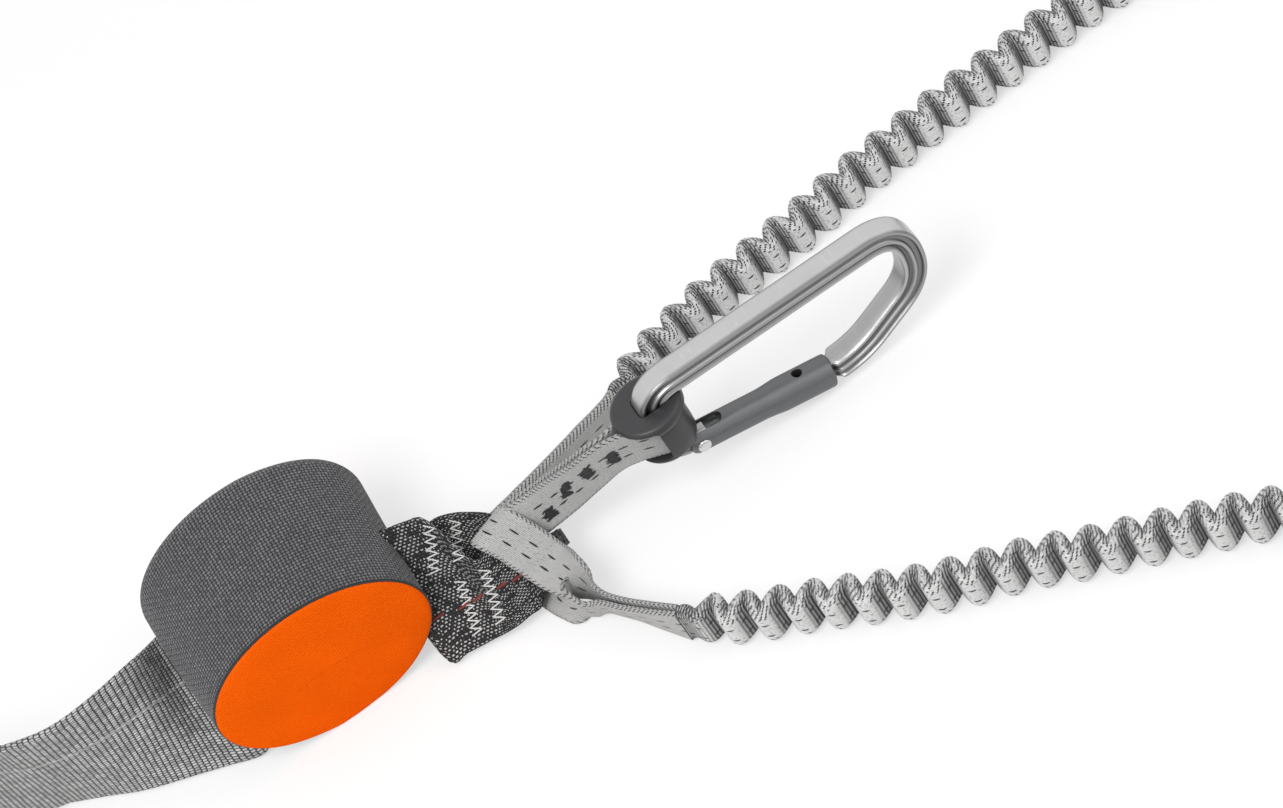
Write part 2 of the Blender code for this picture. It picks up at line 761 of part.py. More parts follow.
def swept_rings(size, profile, grow=0.0, fineness=1):
    # Rings of the forged body, swept from the tang past the hinge round to the nose
    corners = [(u * size["length"], 0, v * size["rise"]) for u, v in size["corner_shares"]]
    corners.insert(0, (size["pivot_u"] + size["gate_radius"] * 0.6, 0, 0))
    radii = [share * size["rise"] for share in size["radius_shares"]]
    path = spaced_evenly(rounded_path(corners, radii, 10), size["stations"] * fineness)
    total = sum((b - a).length for a, b in zip(path, path[1:]))
    heads = tangents(path)
    thin = tang_half_thickness / size["half_thickness"]
    ramp = size["gate_radius"] * 0.8
    rings = []
    done = 0.0
    for i, (point, head) in enumerate(zip(path, heads)):
        done += (point - path[i - 1]).length if i else 0.0
        outward = Vector((-head.z, 0, head.x))
        tang_share = min(max((done - size["gate_radius"] * 2.1) / ramp, 0), 1)
        nose_share = min(max((total - done - size["nose_reach"] * 1.3) / ramp, 0), 1)
        full = min(tang_share, nose_share)
        half_depth = size["half_depth"] * (1 - 0.16 * (1 - full)) + grow
        half_thickness = size["half_thickness"] * (thin + (1 - thin) * full) + grow
        rings.append([
            point + outward * (half_depth * across) + Vector((0, half_thickness * up, 0))
            for across, up in profile
        ])
    return rings


def gate_axis(size):
    drop = size["gate_drop"]
    return Vector((math.cos(drop), 0, -math.sin(drop)))


def add_gate(prefix, size, place):
    # A round gate with a fork at the hinge, a nose notch open on its outer side, and a spring bore
    pivot = Vector((size["pivot_u"], 0, 0))
    axis = gate_axis(size)
    normal = Vector((-axis.z, 0, axis.x))
    cross = Vector((0, 1, 0))
    radius = size["gate_radius"]
    nose = size["nose_radius"]
    length = size["gate_length"]
    tail = radius * 0.85
    flare = radius * 0.6
    stations = (
        (-tail, radius * 0.72), (-tail * 0.75, radius * 0.92), (-tail * 0.4, radius), (length * 0.64, radius),
        (length * 0.64 + flare, nose), (length - flare * 0.25, nose), (length, nose * 0.88),
    )
    rings = []
    for along, reach in stations:
        rings.append([
            pivot + axis * along + normal * (reach * math.cos(angle)) + cross * (reach * math.sin(angle))
            for angle in (2 * math.pi * i / round_points for i in range(round_points))
        ])
    gate = add_object(prefix + "_gate", loft(bmesh.new(), rings), "anodised_alloy", place)

    basis = Matrix((axis, cross, normal)).transposed().to_4x4()
    local = place @ Matrix.Translation(pivot) @ basis
    slot_half = tang_half_thickness + gap
    slot_end = radius * 1.9
    bm = bmesh.new()
    add_box(bm, (-tail - cut_overrun, -slot_half, -radius - cut_overrun), (slot_end, slot_half, radius + cut_overrun))
    cut(gate, add_cutter(prefix + "_fork_cut", bm, local))

    bm = bmesh.new()
    notch_start = length - size["nose_reach"] - size["notch_room"]
    notch_top = size["half_depth"] * 0.84 + 3 * gap
    add_box(bm, (notch_start, -slot_half, -nose - cut_overrun), (length + cut_overrun, slot_half, notch_top))
    cut(gate, add_cutter(prefix + "_nose_cut", bm, local))

    bm = bmesh.new()
    plunger_end = slot_end + plunger_length * 0.4
    bore_end = plunger_end + spring_length
    add_rod(bm, (slot_end - gap, 0, 0), (bore_end, 0, 0), spring_bore_radius)
    cut(gate, add_cutter(prefix + "_spring_bore", bm, local))

    bm = bmesh.new()
    reach = radius + cut_overrun
    add_rod(bm, (0, -reach, 0), (0, reach, 0), rivet_radius + running_clearance, sides=rivet_points)
    hinge_cut = add_cutter(prefix + "_hinge_cut", bm, local)
    cut(gate, hinge_cut)

    if size["drain_hole_radius"]:
        bm = bmesh.new()
        hole_at = length * 0.80
        add_rod(bm, (hole_at, 0, 0), (hole_at, 0, nose + cut_overrun), size["drain_hole_radius"])
        cut(gate, add_cutter(prefix + "_drain_cut", bm, local))

    add_rivet(prefix + "_gate_rivet", radius, radius, local)

    bm = bmesh.new()
    add_rod(bm, (radius * 0.8 + 3 * gap, 0, 0), (plunger_end, 0, 0), plunger_radius, sides=rivet_points)
    add_object(prefix + "_plunger", bm, "steel", local)

    coil_radius = spring_bore_radius - spring_wire_radius - gap * 0.7
    first = plunger_end + spring_wire_radius + gap
    last = bore_end - spring_wire_radius - gap
    add_spring(prefix + "_gate_spring", first, last, coil_radius, spring_turns, local)
    return hinge_cut


def add_rivet(name, low_span, high_span, local):
    # A pin along the local Y axis, between low heads outside its two spans
    low = low_span + gap / 2
    high = high_span + gap / 2
    stations = (
        (-low - rivet_head_height, rivet_head_radius * 0.7), (-low, rivet_head_radius), (-low, rivet_radius),
        (high, rivet_radius), (high, rivet_head_radius), (high + rivet_head_height, rivet_head_radius * 0.7),
    )
    rings = []
    for along, radius in stations:
        angles = (2 * math.pi * i / rivet_points for i in range(rivet_points))
        rings.append([Vector((radius * math.cos(a), along, radius * math.sin(a))) for a in angles])
    add_object(name, loft(bmesh.new(), rings), "steel", local)


def add_spring(name, first, last, coil_radius, turns, local):
    # A helix of round wire along the local X axis
    per_turn = 8
    count = turns * per_turn
    points = []
    for i in range(count + 1):
        angle = 2 * math.pi * i / per_turn
        along = first + (last - first) * i / count
        points.append(Vector((along, coil_radius * math.cos(angle), coil_radius * math.sin(angle))))
    rings = []
    for point, head in zip(points, tangents(points)):
        out = Vector((0, point.y, point.z)).normalized()
        third = head.cross(out).normalized()
        rings.append([
            point + (out * math.cos(a) + third * math.sin(a)) * spring_wire_radius
            for a in (2 * math.pi * k / 4 for k in range(4))
        ])
    pitch = (last - first) / turns
    print(name, "least gap between turns in mm:", round((pitch - 2 * spring_wire_radius) * 1000, 3))
    add_object(name, loft(bmesh.new(), rings), "steel", local)


def add_keeper(name, middle, bar_rings, rubber_size, radius, place):
    # A rubber cup: the strap's loop sits in its pocket and the bar passes through both flanges
    half_height = strap_width / 2 + gap + keeper_wall
    profile_shares = (
        (-1.0, 0.86, 0.56), (-0.86, 0.96, 0.68), (0.0, 1.0, 0.86), (0.80, 1.0, 1.0), (1.0, 0.94, 0.94),
    )
    local = place @ Matrix.Translation(middle)
    rings = []
    for height_share, u_share, w_share in profile_shares:
        rings.append([
            Vector((
                rubber_size[0] * u_share * math.cos(angle),
                rubber_size[1] * w_share * math.sin(angle),
                half_height * height_share,
            ))
            for angle in (2 * math.pi * i / keeper_points for i in range(keeper_points))
        ])
    keeper = add_object(name, loft(bmesh.new(), rings), "rubber", local)
    pocket = strap_width / 2 + gap
    inner = (radius + strap_thickness / 2 + gap) / math.cos(math.pi / keeper_points)
    bm = bmesh.new()
    add_rod(bm, (0, 0, -pocket), (0, 0, pocket), inner, sides=keeper_points)
    cut(keeper, add_cutter(name + "_pocket_cut", bm, local))
    bm = bmesh.new()
    mouth = rubber_size[1] + cut_overrun
    mouth_pocket = pocket - gap / 3
    add_box(bm, (-rubber_size[0] - cut_overrun, -mouth, -mouth_pocket), (-inner * 0.2, mouth, mouth_pocket))
    cut(keeper, add_cutter(name + "_mouth_cut", bm, local))
    cut(keeper, add_cutter(name + "_bar_cut", loft(bmesh.new(), bar_rings), place))
    return keeper


def add_lever(prefix, size, place):
    # A palm lever along the outside of the spine, on a pin near one end
    u_hinge = size["length"] * 0.34
    spine = size["rise"] * size["spine_share"]
    drop = size["half_depth"]
    local = place @ Matrix.Translation((u_hinge, 0, spine))
    low = drop + gap * 2
    end_u = lever_length - lever_lug
    shape_shares = (
        (-0.10, 0.0, 0.55), (0.0, 0.0, 1.0), (0.30, 0.36, 1.0), (0.65, 0.80, 1.0), (0.92, 1.0, 0.95),
        (1.0, 1.0, 0.45),
    )
    rings = []
    for along, lift, thick in shape_shares:
        bottom = low + lever_travel * lift
        top = bottom + lever_thickness * thick
        edge = lever_half_width * 0.75
        rings.append([
            Vector((end_u * along, -lever_half_width, bottom)), Vector((end_u * along, lever_half_width, bottom)),
            Vector((end_u * along, lever_half_width, (bottom + top) / 2)), Vector((end_u * along, edge, top)),
            Vector((end_u * along, -edge, top)), Vector((end_u * along, -lever_half_width, (bottom + top) / 2)),
        ])
    lever = add_object(prefix + "_lever", loft(bmesh.new(), rings), "anodised_alloy", local)
    lug_in = size["half_thickness"] + gap
    for side in (-1, 1):
        bm = bmesh.new()
        first = side * lug_in
        last = side * (lug_in + lever_lug)
        lug_radius = rivet_radius * 2.4
        add_rod(bm, (0, min(first, last), 0), (0, max(first, last), 0), lug_radius)
        end = "_low" if side < 0 else "_high"
        combine(lever, add_cutter(prefix + "_lug" + end, bm, local), "UNION")
        bm = bmesh.new()
        top = low + lever_thickness * 0.5
        add_box(bm, (-lug_radius, min(first, last), 0), (lug_radius, max(first, last), top))
        combine(lever, add_cutter(prefix + "_cheek" + end, bm, local), "UNION")
    bm = bmesh.new()
    reach = lug_in + lever_lug + cut_overrun
    add_rod(bm, (0, -reach, 0), (0, reach, 0), rivet_radius + running_clearance, sides=rivet_points)
    hole = add_cutter(prefix + "_lever_pin_cut", bm, local)
    cut(lever, hole)
    coil_room = (2 * lever_spring_turns + 2) * spring_wire_radius + 2 * gap + lever_spring_turns * gap * 1.5
    span = lug_in + lever_lug
    add_rivet(prefix + "_lever_rivet", span, span + coil_room, local)
    turned = local @ Matrix.Rotation(math.radians(90), 4, "Z")
    first = lug_in + lever_lug + gap + spring_wire_radius
    last = lug_in + lever_lug + coil_room - gap - spring_wire_radius
    add_spring(prefix + "_lever_spring", first, last, rivet_radius + gap + spring_wire_radius, lever_spring_turns, turned)
    return hole


carabiner = {
    "length": carabiner_length,
    "rise": carabiner_rise,
    "half_depth": carabiner_half_depth,
    "half_thickness": carabiner_half_thickness,
    "gate_radius": carabiner_gate_radius,
    "nose_radius": carabiner_nose_radius,
    "gate_drop": carabiner_gate_drop,
    "pivot_u": carabiner_half_depth * 2.0,
    "gate_length": carabiner_length * 0.455,
    "nose_reach": carabiner_nose_radius * 1.0,
    "notch_room": gap * 3,
    "drain_hole_radius": carabiner_gate_radius * 0.38,
    "corner_shares": ((0.0, 0.04), (0.0, 1.0), (0.962, 0.95), (0.945, 0.17), (0.67, -0.27), (0.50, -0.285)),
    "radius_shares": (0.19, 0.38, 0.41, 0.34, 0.24),
    "spine_share": 1.0,
    "stations": 44,
}

connector = {
    "length": connector_length,
    "rise": connector_rise,
    "half_depth": connector_half_depth,
    "half_thickness": connector_half_thickness,
    "gate_radius": connector_gate_radius,
    "nose_radius": connector_nose_radius,
    "gate_drop": connector_gate_drop,
    "pivot_u": connector_half_depth * 2.0,
    "gate_length": connector_length * 0.52,
    "nose_reach": connector_nose_radius * 1.0,
    "notch_room": gap * 3,
    "drain_hole_radius": 0,
    "corner_shares": ((0.0, 0.04), (0.0, 0.80), (0.16, 1.0), (0.94, 1.0), (1.0, 0.25), (0.80, -0.12), (0.60, -0.15)),
    "radius_shares": (0.22, 0.16, 0.14, 0.36, 0.30, 0.16),
    "spine_share": 1.0,
    "stations": 42,
}


def add_connector(prefix, size, profile, place, finish):
    body = add_object(prefix + "_body", loft(bmesh.new(), swept_rings(size, profile)), finish, place)
    cut(body, add_gate(prefix, size, place))
    return body


def bar_rings_of(size, middle_v):
    # The part of the swept bar that passes through a keeper, a little enlarged
    rings = swept_rings(size, outline_profile_shares, keeper_bar_clearance, 3)
    reach = strap_width / 2 + keeper_wall + cut_overrun
    kept = []
    for ring in rings:
        centre = sum(ring, Vector((0, 0, 0))) / len(ring)
        if abs(centre.z - middle_v) < reach and centre.x < size["length"] / 4:
            kept.append(ring)
    return kept


def add_carabiner():
    # Stands on its gate side: u along X, v along Z, w along Y
    place = Matrix.Translation((carabiner_bar_x, -carabiner_side, carabiner_pivot_height))
    add_connector("carabiner", carabiner, grooved_profile_shares, place, "bright_alloy")
    middle_v = keeper_middle_height - carabiner_pivot_height
    rubber = (keeper_half_length, keeper_half_width)
    bar = bar_rings_of(carabiner, middle_v)
    add_keeper("short_arm_keeper", Vector((bar_bend, 0, middle_v)), bar, rubber, loop_radius, place)


def add_arm_end(prefix, route):
    # Terminal strap, keeper and connector beyond the end of an arm, lying flat
    last = Vector((*route[-1], 0))
    heading = (last - Vector((*route[-2], 0))).normalized()
    up = Vector((0, 0, 1))
    aside = heading.cross(up)
    start = last + heading * (gap + ply_offset + strap_thickness / 2)
    start.z = strap_width / 2 + floor_gap
    bar = last + heading * terminal_length
    bar.z = connector_height
    middle_v = connector["rise"] * 0.42
    basis = Matrix((heading, up, aside)).transposed().to_4x4()
    place = Matrix.Translation(bar - aside * middle_v) @ basis
    radius = connector_half_thickness * 1.3 + gap + strap_thickness / 2
    turn_shares = ((0.0, 0.0), (0.2, 0.12), (0.40, 0.5), (0.58, 0.9), (0.78, 1.0))
    stations = []
    for along, turned in turn_shares:
        angle = turned * math.pi / 2
        stations.append((start + (bar - start) * along, up * math.cos(angle) + aside * math.sin(angle)))
    openings = (1.0, 1.5, 1.9, 1.6, 2.2)
    add_looped_strap(prefix + "_terminal_strap", stations, bar, heading, radius, openings, 5)
    body = add_connector(prefix + "_connector", connector, plain_profile_shares, place, "bright_alloy")
    rubber = (terminal_keeper_half_length, terminal_keeper_half_width)
    bar_rings = bar_rings_of(connector, middle_v)
    add_keeper(prefix + "_keeper", Vector((0, 0, middle_v)), bar_rings, rubber, radius, place)
    cut(body, add_lever(prefix + "_connector", connector, place))


tie_in = add_webbings()
add_sleeve(tie_in)
add_cap("pouch_cap_front", -pouch_depth / 2, -1, 1.0)
add_cap("pouch_cap_back", pouch_depth / 2, 1, 0.78)
add_tear_webbing()
add_lower_strap()
add_upper_strap()
add_short_strap()
add_arm("upper_arm_elastic", upper_arm_route)
add_arm("lower_arm_elastic", lower_arm_route)
add_carabiner()
add_arm_end("upper", upper_arm_route)
add_arm_end("lower", lower_arm_route)
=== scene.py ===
import math

import bmesh
import bpy
from mathutils import Matrix, Vector, noise
from mathutils.bvhtree import BVHTree


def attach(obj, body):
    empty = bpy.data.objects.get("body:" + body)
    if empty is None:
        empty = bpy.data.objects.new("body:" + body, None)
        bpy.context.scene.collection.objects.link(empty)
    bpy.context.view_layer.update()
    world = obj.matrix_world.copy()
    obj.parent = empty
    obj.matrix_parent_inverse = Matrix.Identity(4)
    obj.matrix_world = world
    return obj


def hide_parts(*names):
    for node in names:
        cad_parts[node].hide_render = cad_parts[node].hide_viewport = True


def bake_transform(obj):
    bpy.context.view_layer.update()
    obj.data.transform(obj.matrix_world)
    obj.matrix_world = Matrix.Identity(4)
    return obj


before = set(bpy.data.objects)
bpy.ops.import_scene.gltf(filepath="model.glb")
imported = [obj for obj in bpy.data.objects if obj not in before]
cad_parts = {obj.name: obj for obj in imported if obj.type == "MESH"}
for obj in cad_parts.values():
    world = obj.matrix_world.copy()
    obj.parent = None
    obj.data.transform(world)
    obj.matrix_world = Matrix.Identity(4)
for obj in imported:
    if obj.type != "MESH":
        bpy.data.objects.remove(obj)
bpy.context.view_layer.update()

# Via ferrata lanyard: absorber pouch, two elastic arms with large connectors, short arm with a carabiner
mm = 0.001
gap = 0.0003
up = Vector((0, 0, 1))


# camera, at the photograph's angle

view = {
    "lens": 111.1, "sensor": 36.0, "distance": 1.2, "elevation": 48.0, "roll": 34.9,
    "target": (0.12193, -0.0086, 0.016),
}


def addCamera():
    tilt, roll = math.radians(view["elevation"]), math.radians(view["roll"])
    forward = Vector((0, math.cos(tilt), -math.sin(tilt)))
    above = Vector((0, math.sin(tilt), math.cos(tilt)))
    side = Vector((1, 0, 0))
    right = side * math.cos(roll) - above * math.sin(roll)
    top = side * math.sin(roll) + above * math.cos(roll)
    eye = bpy.data.cameras.new("camera")
    eye.lens, eye.sensor_width = view["lens"], view["sensor"]
    eye.clip_start, eye.clip_end = 0.05, 20
    holder = bpy.data.objects.new("camera", eye)
    place = Matrix((right, top, -forward)).transposed().to_4x4()
    place.translation = Vector(view["target"]) - forward * view["distance"]
    holder.matrix_world = place
    bpy.context.scene.collection.objects.link(holder)
    bpy.context.scene.camera = holder


addCamera()
print("camera placed")


# paths and skins

def smoothPath(points, steps):
    # the same even curve through the points as the solids follow
    knots = [Vector(p) for p in points]
    out = []
    for i in range(len(knots) - 1):
        a, b, c, d = knots[max(i - 1, 0)], knots[i], knots[i + 1], knots[min(i + 2, len(knots) - 1)]
        for k in range(steps):
            t = k / steps
            out.append(0.5 * (2 * b + (c - a) * t + (2 * a - 5 * b + 4 * c - d) * t * t
                              + (3 * b - a - 3 * c + d) * t * t * t))
    return out + [knots[-1]]


def smoothNumbers(numbers, steps):
    return [p.x for p in smoothPath([(n, 0, 0) for n in numbers], steps)]


def headings(points, closed=False):
    last = len(points) - 1
    out = []
    for i in range(len(points)):
        before = points[i - 1] if closed or i else points[0]
        after = points[(i + 1) % len(points)] if closed or i < last else points[last]
        out.append((after - before).normalized())
    return out


def circle(count):
    # even angles round a full turn
    return [2 * math.pi * k / count for k in range(count)]


def lengthOf(points):
    return sum((b - a).length for a, b in zip(points, points[1:]))


def evenly(points, count):
    step = lengthOf(points) / count * 0.9999
    out, left = [points[0]], step
    for a, b in zip(points, points[1:]):
        span = (b - a).length
        way = (b - a) / span if span else Vector((1, 0, 0))
        while left <= span:
            out.append(a + way * left)
            left += step
        left -= span
    return out[:count + 1]


def middleOf(ring):
    return sum(ring, Vector((0, 0, 0))) / len(ring)


def flatSection(halfWidth, thickness, steps=8):
    # a webbing's section from the middle of its outer face, with round edges
    r = thickness / 2
    flat = halfWidth - r
    half = [(flat * k / steps, r) for k in range(steps)]
    half += [(flat + r * math.sin(a), r * math.cos(a)) for a in (math.pi * k / 6 for k in range(6))]
    half += [(flat * (1 - k / steps), -r) for k in range(steps)]
    return half + [(-x, -y) for x, y in half]


def aroundOf(section):
    out, total = [0.0], 0.0
    for a, b in zip(section, section[1:] + section[:1]):
        total += math.hypot(b[0] - a[0], b[1] - a[1])
        out.append(total)
    return out


def finishMesh(name, bm, paint, sharp=40):
    bmesh.ops.recalc_face_normals(bm, faces=bm.faces)
    mesh = bpy.data.meshes.new(name)
    bm.to_mesh(mesh)
    bm.free()
    mesh.materials.append(paint)
    mesh.shade_smooth()
    mesh.set_sharp_from_angle(angle=math.radians(sharp))
    made = bpy.data.objects.new(name, mesh)
    bpy.context.scene.collection.objects.link(made)
    return made


def skin(name, rings, paint, around=None, along=None, closed=False, extra=None, sharp=40):
    # a grid wrapped on the rings: its seam is merged, its ends are filled and its UV map is in millimetres
    rows, columns = len(rings) - (0 if closed else 1), len(rings[0])
    if along is None:
        middles = [middleOf(ring) for ring in rings]
        along = [0.0]
        for a, b in zip(middles, middles[1:] + middles[:1]):
            along.append(along[-1] + (b - a).length)
    if around is None:
        around = aroundOf([(p.x, p.y) for p in flattened(rings[len(rings) // 2])])
    bm = bmesh.new()
    bmesh.ops.create_grid(bm, x_segments=columns, y_segments=rows, size=1.0)
    cell = bm.verts.layers.int.new("cell")
    fold = bm.verts.layers.float.new("fold") if extra else None
    for v in bm.verts:
        j, i = round((v.co.x + 1) / 2 * columns), round((v.co.y + 1) / 2 * rows)
        v[cell] = i * (columns + 1) + j
        v.co = rings[i % len(rings)][j % columns]
        if extra:
            v[fold] = extra[i % len(rings)][j % columns]
    flat = bm.loops.layers.uv.new("UVMap")
    for face in bm.faces:
        for corner in face.loops:
            i, j = divmod(corner.vert[cell], columns + 1)
            u = along[i][j % columns] if isinstance(along[i], list) else along[i]
            corner[flat].uv = (u / mm, around[j] / mm)
    bmesh.ops.remove_doubles(bm, verts=bm.verts, dist=1e-7)
    if not closed:
        ends = [e for e in bm.edges if e.is_boundary]
        bmesh.ops.holes_fill(bm, edges=ends, sides=0)
    bm.verts.layers.int.remove(cell)
    return finishMesh(name, bm, paint, sharp)


def flattened(ring):
    # a ring unrolled in its own plane, for its lengths
    a = (ring[1] - ring[0]).normalized()
    n = Vector((0, 0, 0))
    for p, q in zip(ring, ring[1:]):
        n += (p - ring[0]).cross(q - ring[0])
    b = n.normalized().cross(a) if n.length else Vector((0, 1, 0))
    return [Vector(((p - ring[0]).dot(a), (p - ring[0]).dot(b), 0)) for p in ring]


def ripple(rings, size, depth, seed):
    # small unevenness of soft webbing, the same each run
    out, shift = [], Vector((seed, 0, 0))
    for ring in rings:
        m = middleOf(ring)
        out.append([p + (p - m).normalized() * depth * noise.noise(p / size + shift) for p in ring])
    return out


def stripRings(centres, sides, section, closed=False):
    rings = []
    for c, h, s in zip(centres, headings(centres, closed), sides):
        n = s.cross(h).normalized()
        across = h.cross(n).normalized()
        rings.append([c + across * a + n * o for a, o in section])
    return rings


def turned(profile, start, axis, sides):
    # a profile of (along, radius) spun round an axis
    bm = bmesh.new()
    start, axis = Vector(start), Vector(axis)
    out = axis.orthogonal().normalized()
    verts = [bm.verts.new(start + axis * along + out * radius) for along, radius in profile]
    edges = [bm.edges.new(pair) for pair in zip(verts, verts[1:])]
    bmesh.ops.spin(bm, geom=verts + edges, cent=start, axis=axis, angle=2 * math.pi, steps=sides,
                   use_merge=True, use_duplicate=False)
    bmesh.ops.remove_doubles(bm, verts=bm.verts, dist=1e-7)
    return bm


def boxed(low, high):
    # a box between two corners, as a tool
    bm = bmesh.new()
    made = bmesh.ops.create_cube(bm, size=1.0)["verts"]
    low, high = Vector(low), Vector(high)
    bmesh.ops.scale(bm, vec=high - low, verts=made)
    bmesh.ops.translate(bm, vec=(high + low) / 2, verts=made)
    return bm


def applied(target, sharp):
    # the piece's modifier made part of its mesh
    seen = target.evaluated_get(bpy.context.evaluated_depsgraph_get())
    target.data = bpy.data.meshes.new_from_object(seen)
    target.modifiers.clear()
    target.data.shade_smooth()
    target.data.set_sharp_from_angle(angle=math.radians(sharp))


def carve(target, cutters, operation="DIFFERENCE"):
    # cutters are taken off (or joined on) and then removed
    for bm in cutters:
        tool = finishMesh("tool", bm, target.data.materials[0])
        step = target.modifiers.new("cut", "BOOLEAN")
        step.operation, step.solver, step.object = operation, "EXACT", tool
        applied(target, 35)
        bpy.data.objects.remove(tool, do_unlink=True)


def soften(target, width, segments=2):
    # a small bevel on every hard edge, applied
    step = target.modifiers.new("soft", "BEVEL")
    step.width, step.segments, step.limit_method = width, segments, "ANGLE"
    step.angle_limit, step.use_clamp_overlap = math.radians(38), True
    applied(target, 50)


def asTool(piece):
    # a made piece turned into a tool for carve
    bm = bmesh.new()
    bm.from_mesh(piece.data)
    bpy.data.objects.remove(piece, do_unlink=True)
    return bm


def drum(radius, depth, segments, matrix=None):
    # a plain cylinder about its own middle, as a tool
    bm = bmesh.new()
    bmesh.ops.create_cone(bm, cap_ends=True, segments=segments, radius1=radius, radius2=radius, depth=depth,
                          matrix=matrix or Matrix())
    return bm


def stand(piece, body, *nodes):
    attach(piece, body)
    if nodes:
        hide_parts(*nodes)
    return piece


# materials

class Wire:
    # a node's output that takes part in sums
    def __init__(self, paint, socket):
        self.paint, self.socket = paint, socket

    def maths(self, operation, *parts):
        return self.paint.node("ShaderNodeMath", {"operation": operation}, dict(enumerate(parts)))

    def __lt__(self, other):
        return self.maths("LESS_THAN", self, other)

    def __gt__(self, other):
        return self.maths("GREATER_THAN", self, other)

    def __abs__(self):
        return self.maths("ABSOLUTE", self)

    def floor(self):
        return self.maths("FLOOR", self)

    def most(self, other):
        return self.maths("MAXIMUM", self, other)

    def least(self, other):
        return self.maths("MINIMUM", self, other)

    def ramp(self, low, high, toLow=0.0, toHigh=1.0):
        # a smooth step between two values
        ends = {"Value": self, "From Min": low, "From Max": high, "To Min": toLow, "To Max": toHigh}
        return self.paint.node("ShaderNodeMapRange", {"interpolation_type": "SMOOTHSTEP"}, ends)


def overload(sign, operation):
    # a sum between two wires, or between a wire and a number on either side
    setattr(Wire, "__%s__" % sign, lambda wire, other: wire.maths(operation, wire, other))
    setattr(Wire, "__r%s__" % sign, lambda wire, other: wire.maths(operation, other, wire))


for sign, operation in (("add", "ADD"), ("sub", "SUBTRACT"), ("mul", "MULTIPLY"), ("truediv", "DIVIDE"),
                        ("mod", "FLOORED_MODULO")):
    overload(sign, operation)


class Paint:
    def __init__(self, name, roughness=0.6, metallic=0.0, gloss=0.5, sheen=0.0, sheenRough=0.5):
        self.material = bpy.data.materials.new(name)
        self.material.use_nodes = True
        self.tree = self.material.node_tree
        self.shader = self.tree.nodes["Principled BSDF"]
        constants = {"Roughness": roughness, "Metallic": metallic, "Specular IOR Level": gloss,
                     "Sheen Weight": sheen, "Sheen Roughness": sheenRough}
        for socket, value in constants.items():
            self.shader.inputs[socket].default_value = value
        self.places = {}

    def node(self, kind, settings=None, inputs=None, output=0):
        made = self.tree.nodes.new(kind)
        for setting, value in (settings or {}).items():
            setattr(made, setting, value)
        for key, value in (inputs or {}).items():
            socket = made.inputs[key]
            if isinstance(value, Wire):
                self.tree.links.new(value.socket, socket)
            elif isinstance(value, tuple) and len(value) == 3 and socket.type == "RGBA":
                socket.default_value = (*value, 1)
            else:
                socket.default_value = value
        return Wire(self, made.outputs[output])

    def object(self):
        if "object" not in self.places:
            self.places["object"] = self.node("ShaderNodeTexCoord", output="Object")
        return self.places["object"]

    def strip(self):
        # millimetres along a piece and round it
        if "strip" not in self.places:
            flat = self.node("ShaderNodeUVMap", {"uv_map": "UVMap"}, output="UV")
            self.places["strip"] = (self.node("ShaderNodeSeparateXYZ", None, {0: flat}, 0),
                                    self.node("ShaderNodeSeparateXYZ", None, {0: flat}, 1), flat)
        return self.places["strip"]

    def attribute(self, name):
        return self.node("ShaderNodeAttribute", {"attribute_name": name}, output="Fac")

    def speckle(self, place, scale, detail=2.0, roughness=0.5, stretch=None):
        if stretch:
            place = self.node("ShaderNodeMapping", None, {"Vector": place, "Scale": stretch})
        return self.node("ShaderNodeTexNoise", None,
                         {"Vector": place, "Scale": scale, "Detail": detail, "Roughness": roughness}, "Fac")

    def lone(self, first, second):
        # one random number for each cell of a pattern
        cell = self.node("ShaderNodeCombineXYZ", None, {0: first.floor(), 1: second.floor()})
        return self.node("ShaderNodeTexWhiteNoise", {"noise_dimensions": "2D"}, {"Vector": cell}, "Value")

    def mix(self, share, first, second):
        return self.node("ShaderNodeMix", {"data_type": "RGBA"}, {0: share, 6: first, 7: second}, 2)

    def to(self, socket, value):
        self.tree.links.new(value.socket, self.shader.inputs[socket])

    def finished(self, colour, height, distance, strength):
        # the colour and the relief put on the shader
        relief = {"Height": height, "Distance": distance, "Strength": strength}
        self.to("Base Color", colour)
        self.to("Normal", self.node("ShaderNodeBump", None, relief))
        return self.material

    def shaded(self, colour, amount):
        # the colour made lighter and darker by a value that is 1 where it stays
        return self.node("ShaderNodeVectorMath", {"operation": "SCALE"}, {0: colour, "Scale": amount})


webbing = {
    "light": (0.43, 0.43, 0.425), "dark": (0.17, 0.17, 0.17), "black": (0.012, 0.012, 0.013),
    "rib": 0.52, "dashPeriod": 6.8, "dashHalf": 1.75, "dashThick": 0.30, "rows": 2.05,
    "edgeReach": 1.5, "chevron": 1.5,
}


def fromMiddle(cells):
    # 0 in the middle of each cell of a pattern, 1 at its ends
    return abs(cells % 1 - 0.5) * 2


def faceOf(around, total):
    # distance across a face from its middle, the same on both faces
    return (around + total / 4) % (total / 2) - total / 4


def dashes(along, across, period, halfLength, halfThick, rows, middle=0.0):
    a = abs((along / period) % 1 - 0.5) * period / halfLength
    b = abs(abs(across - middle) - rows) / halfThick
    return (a * a + b * b) < 1


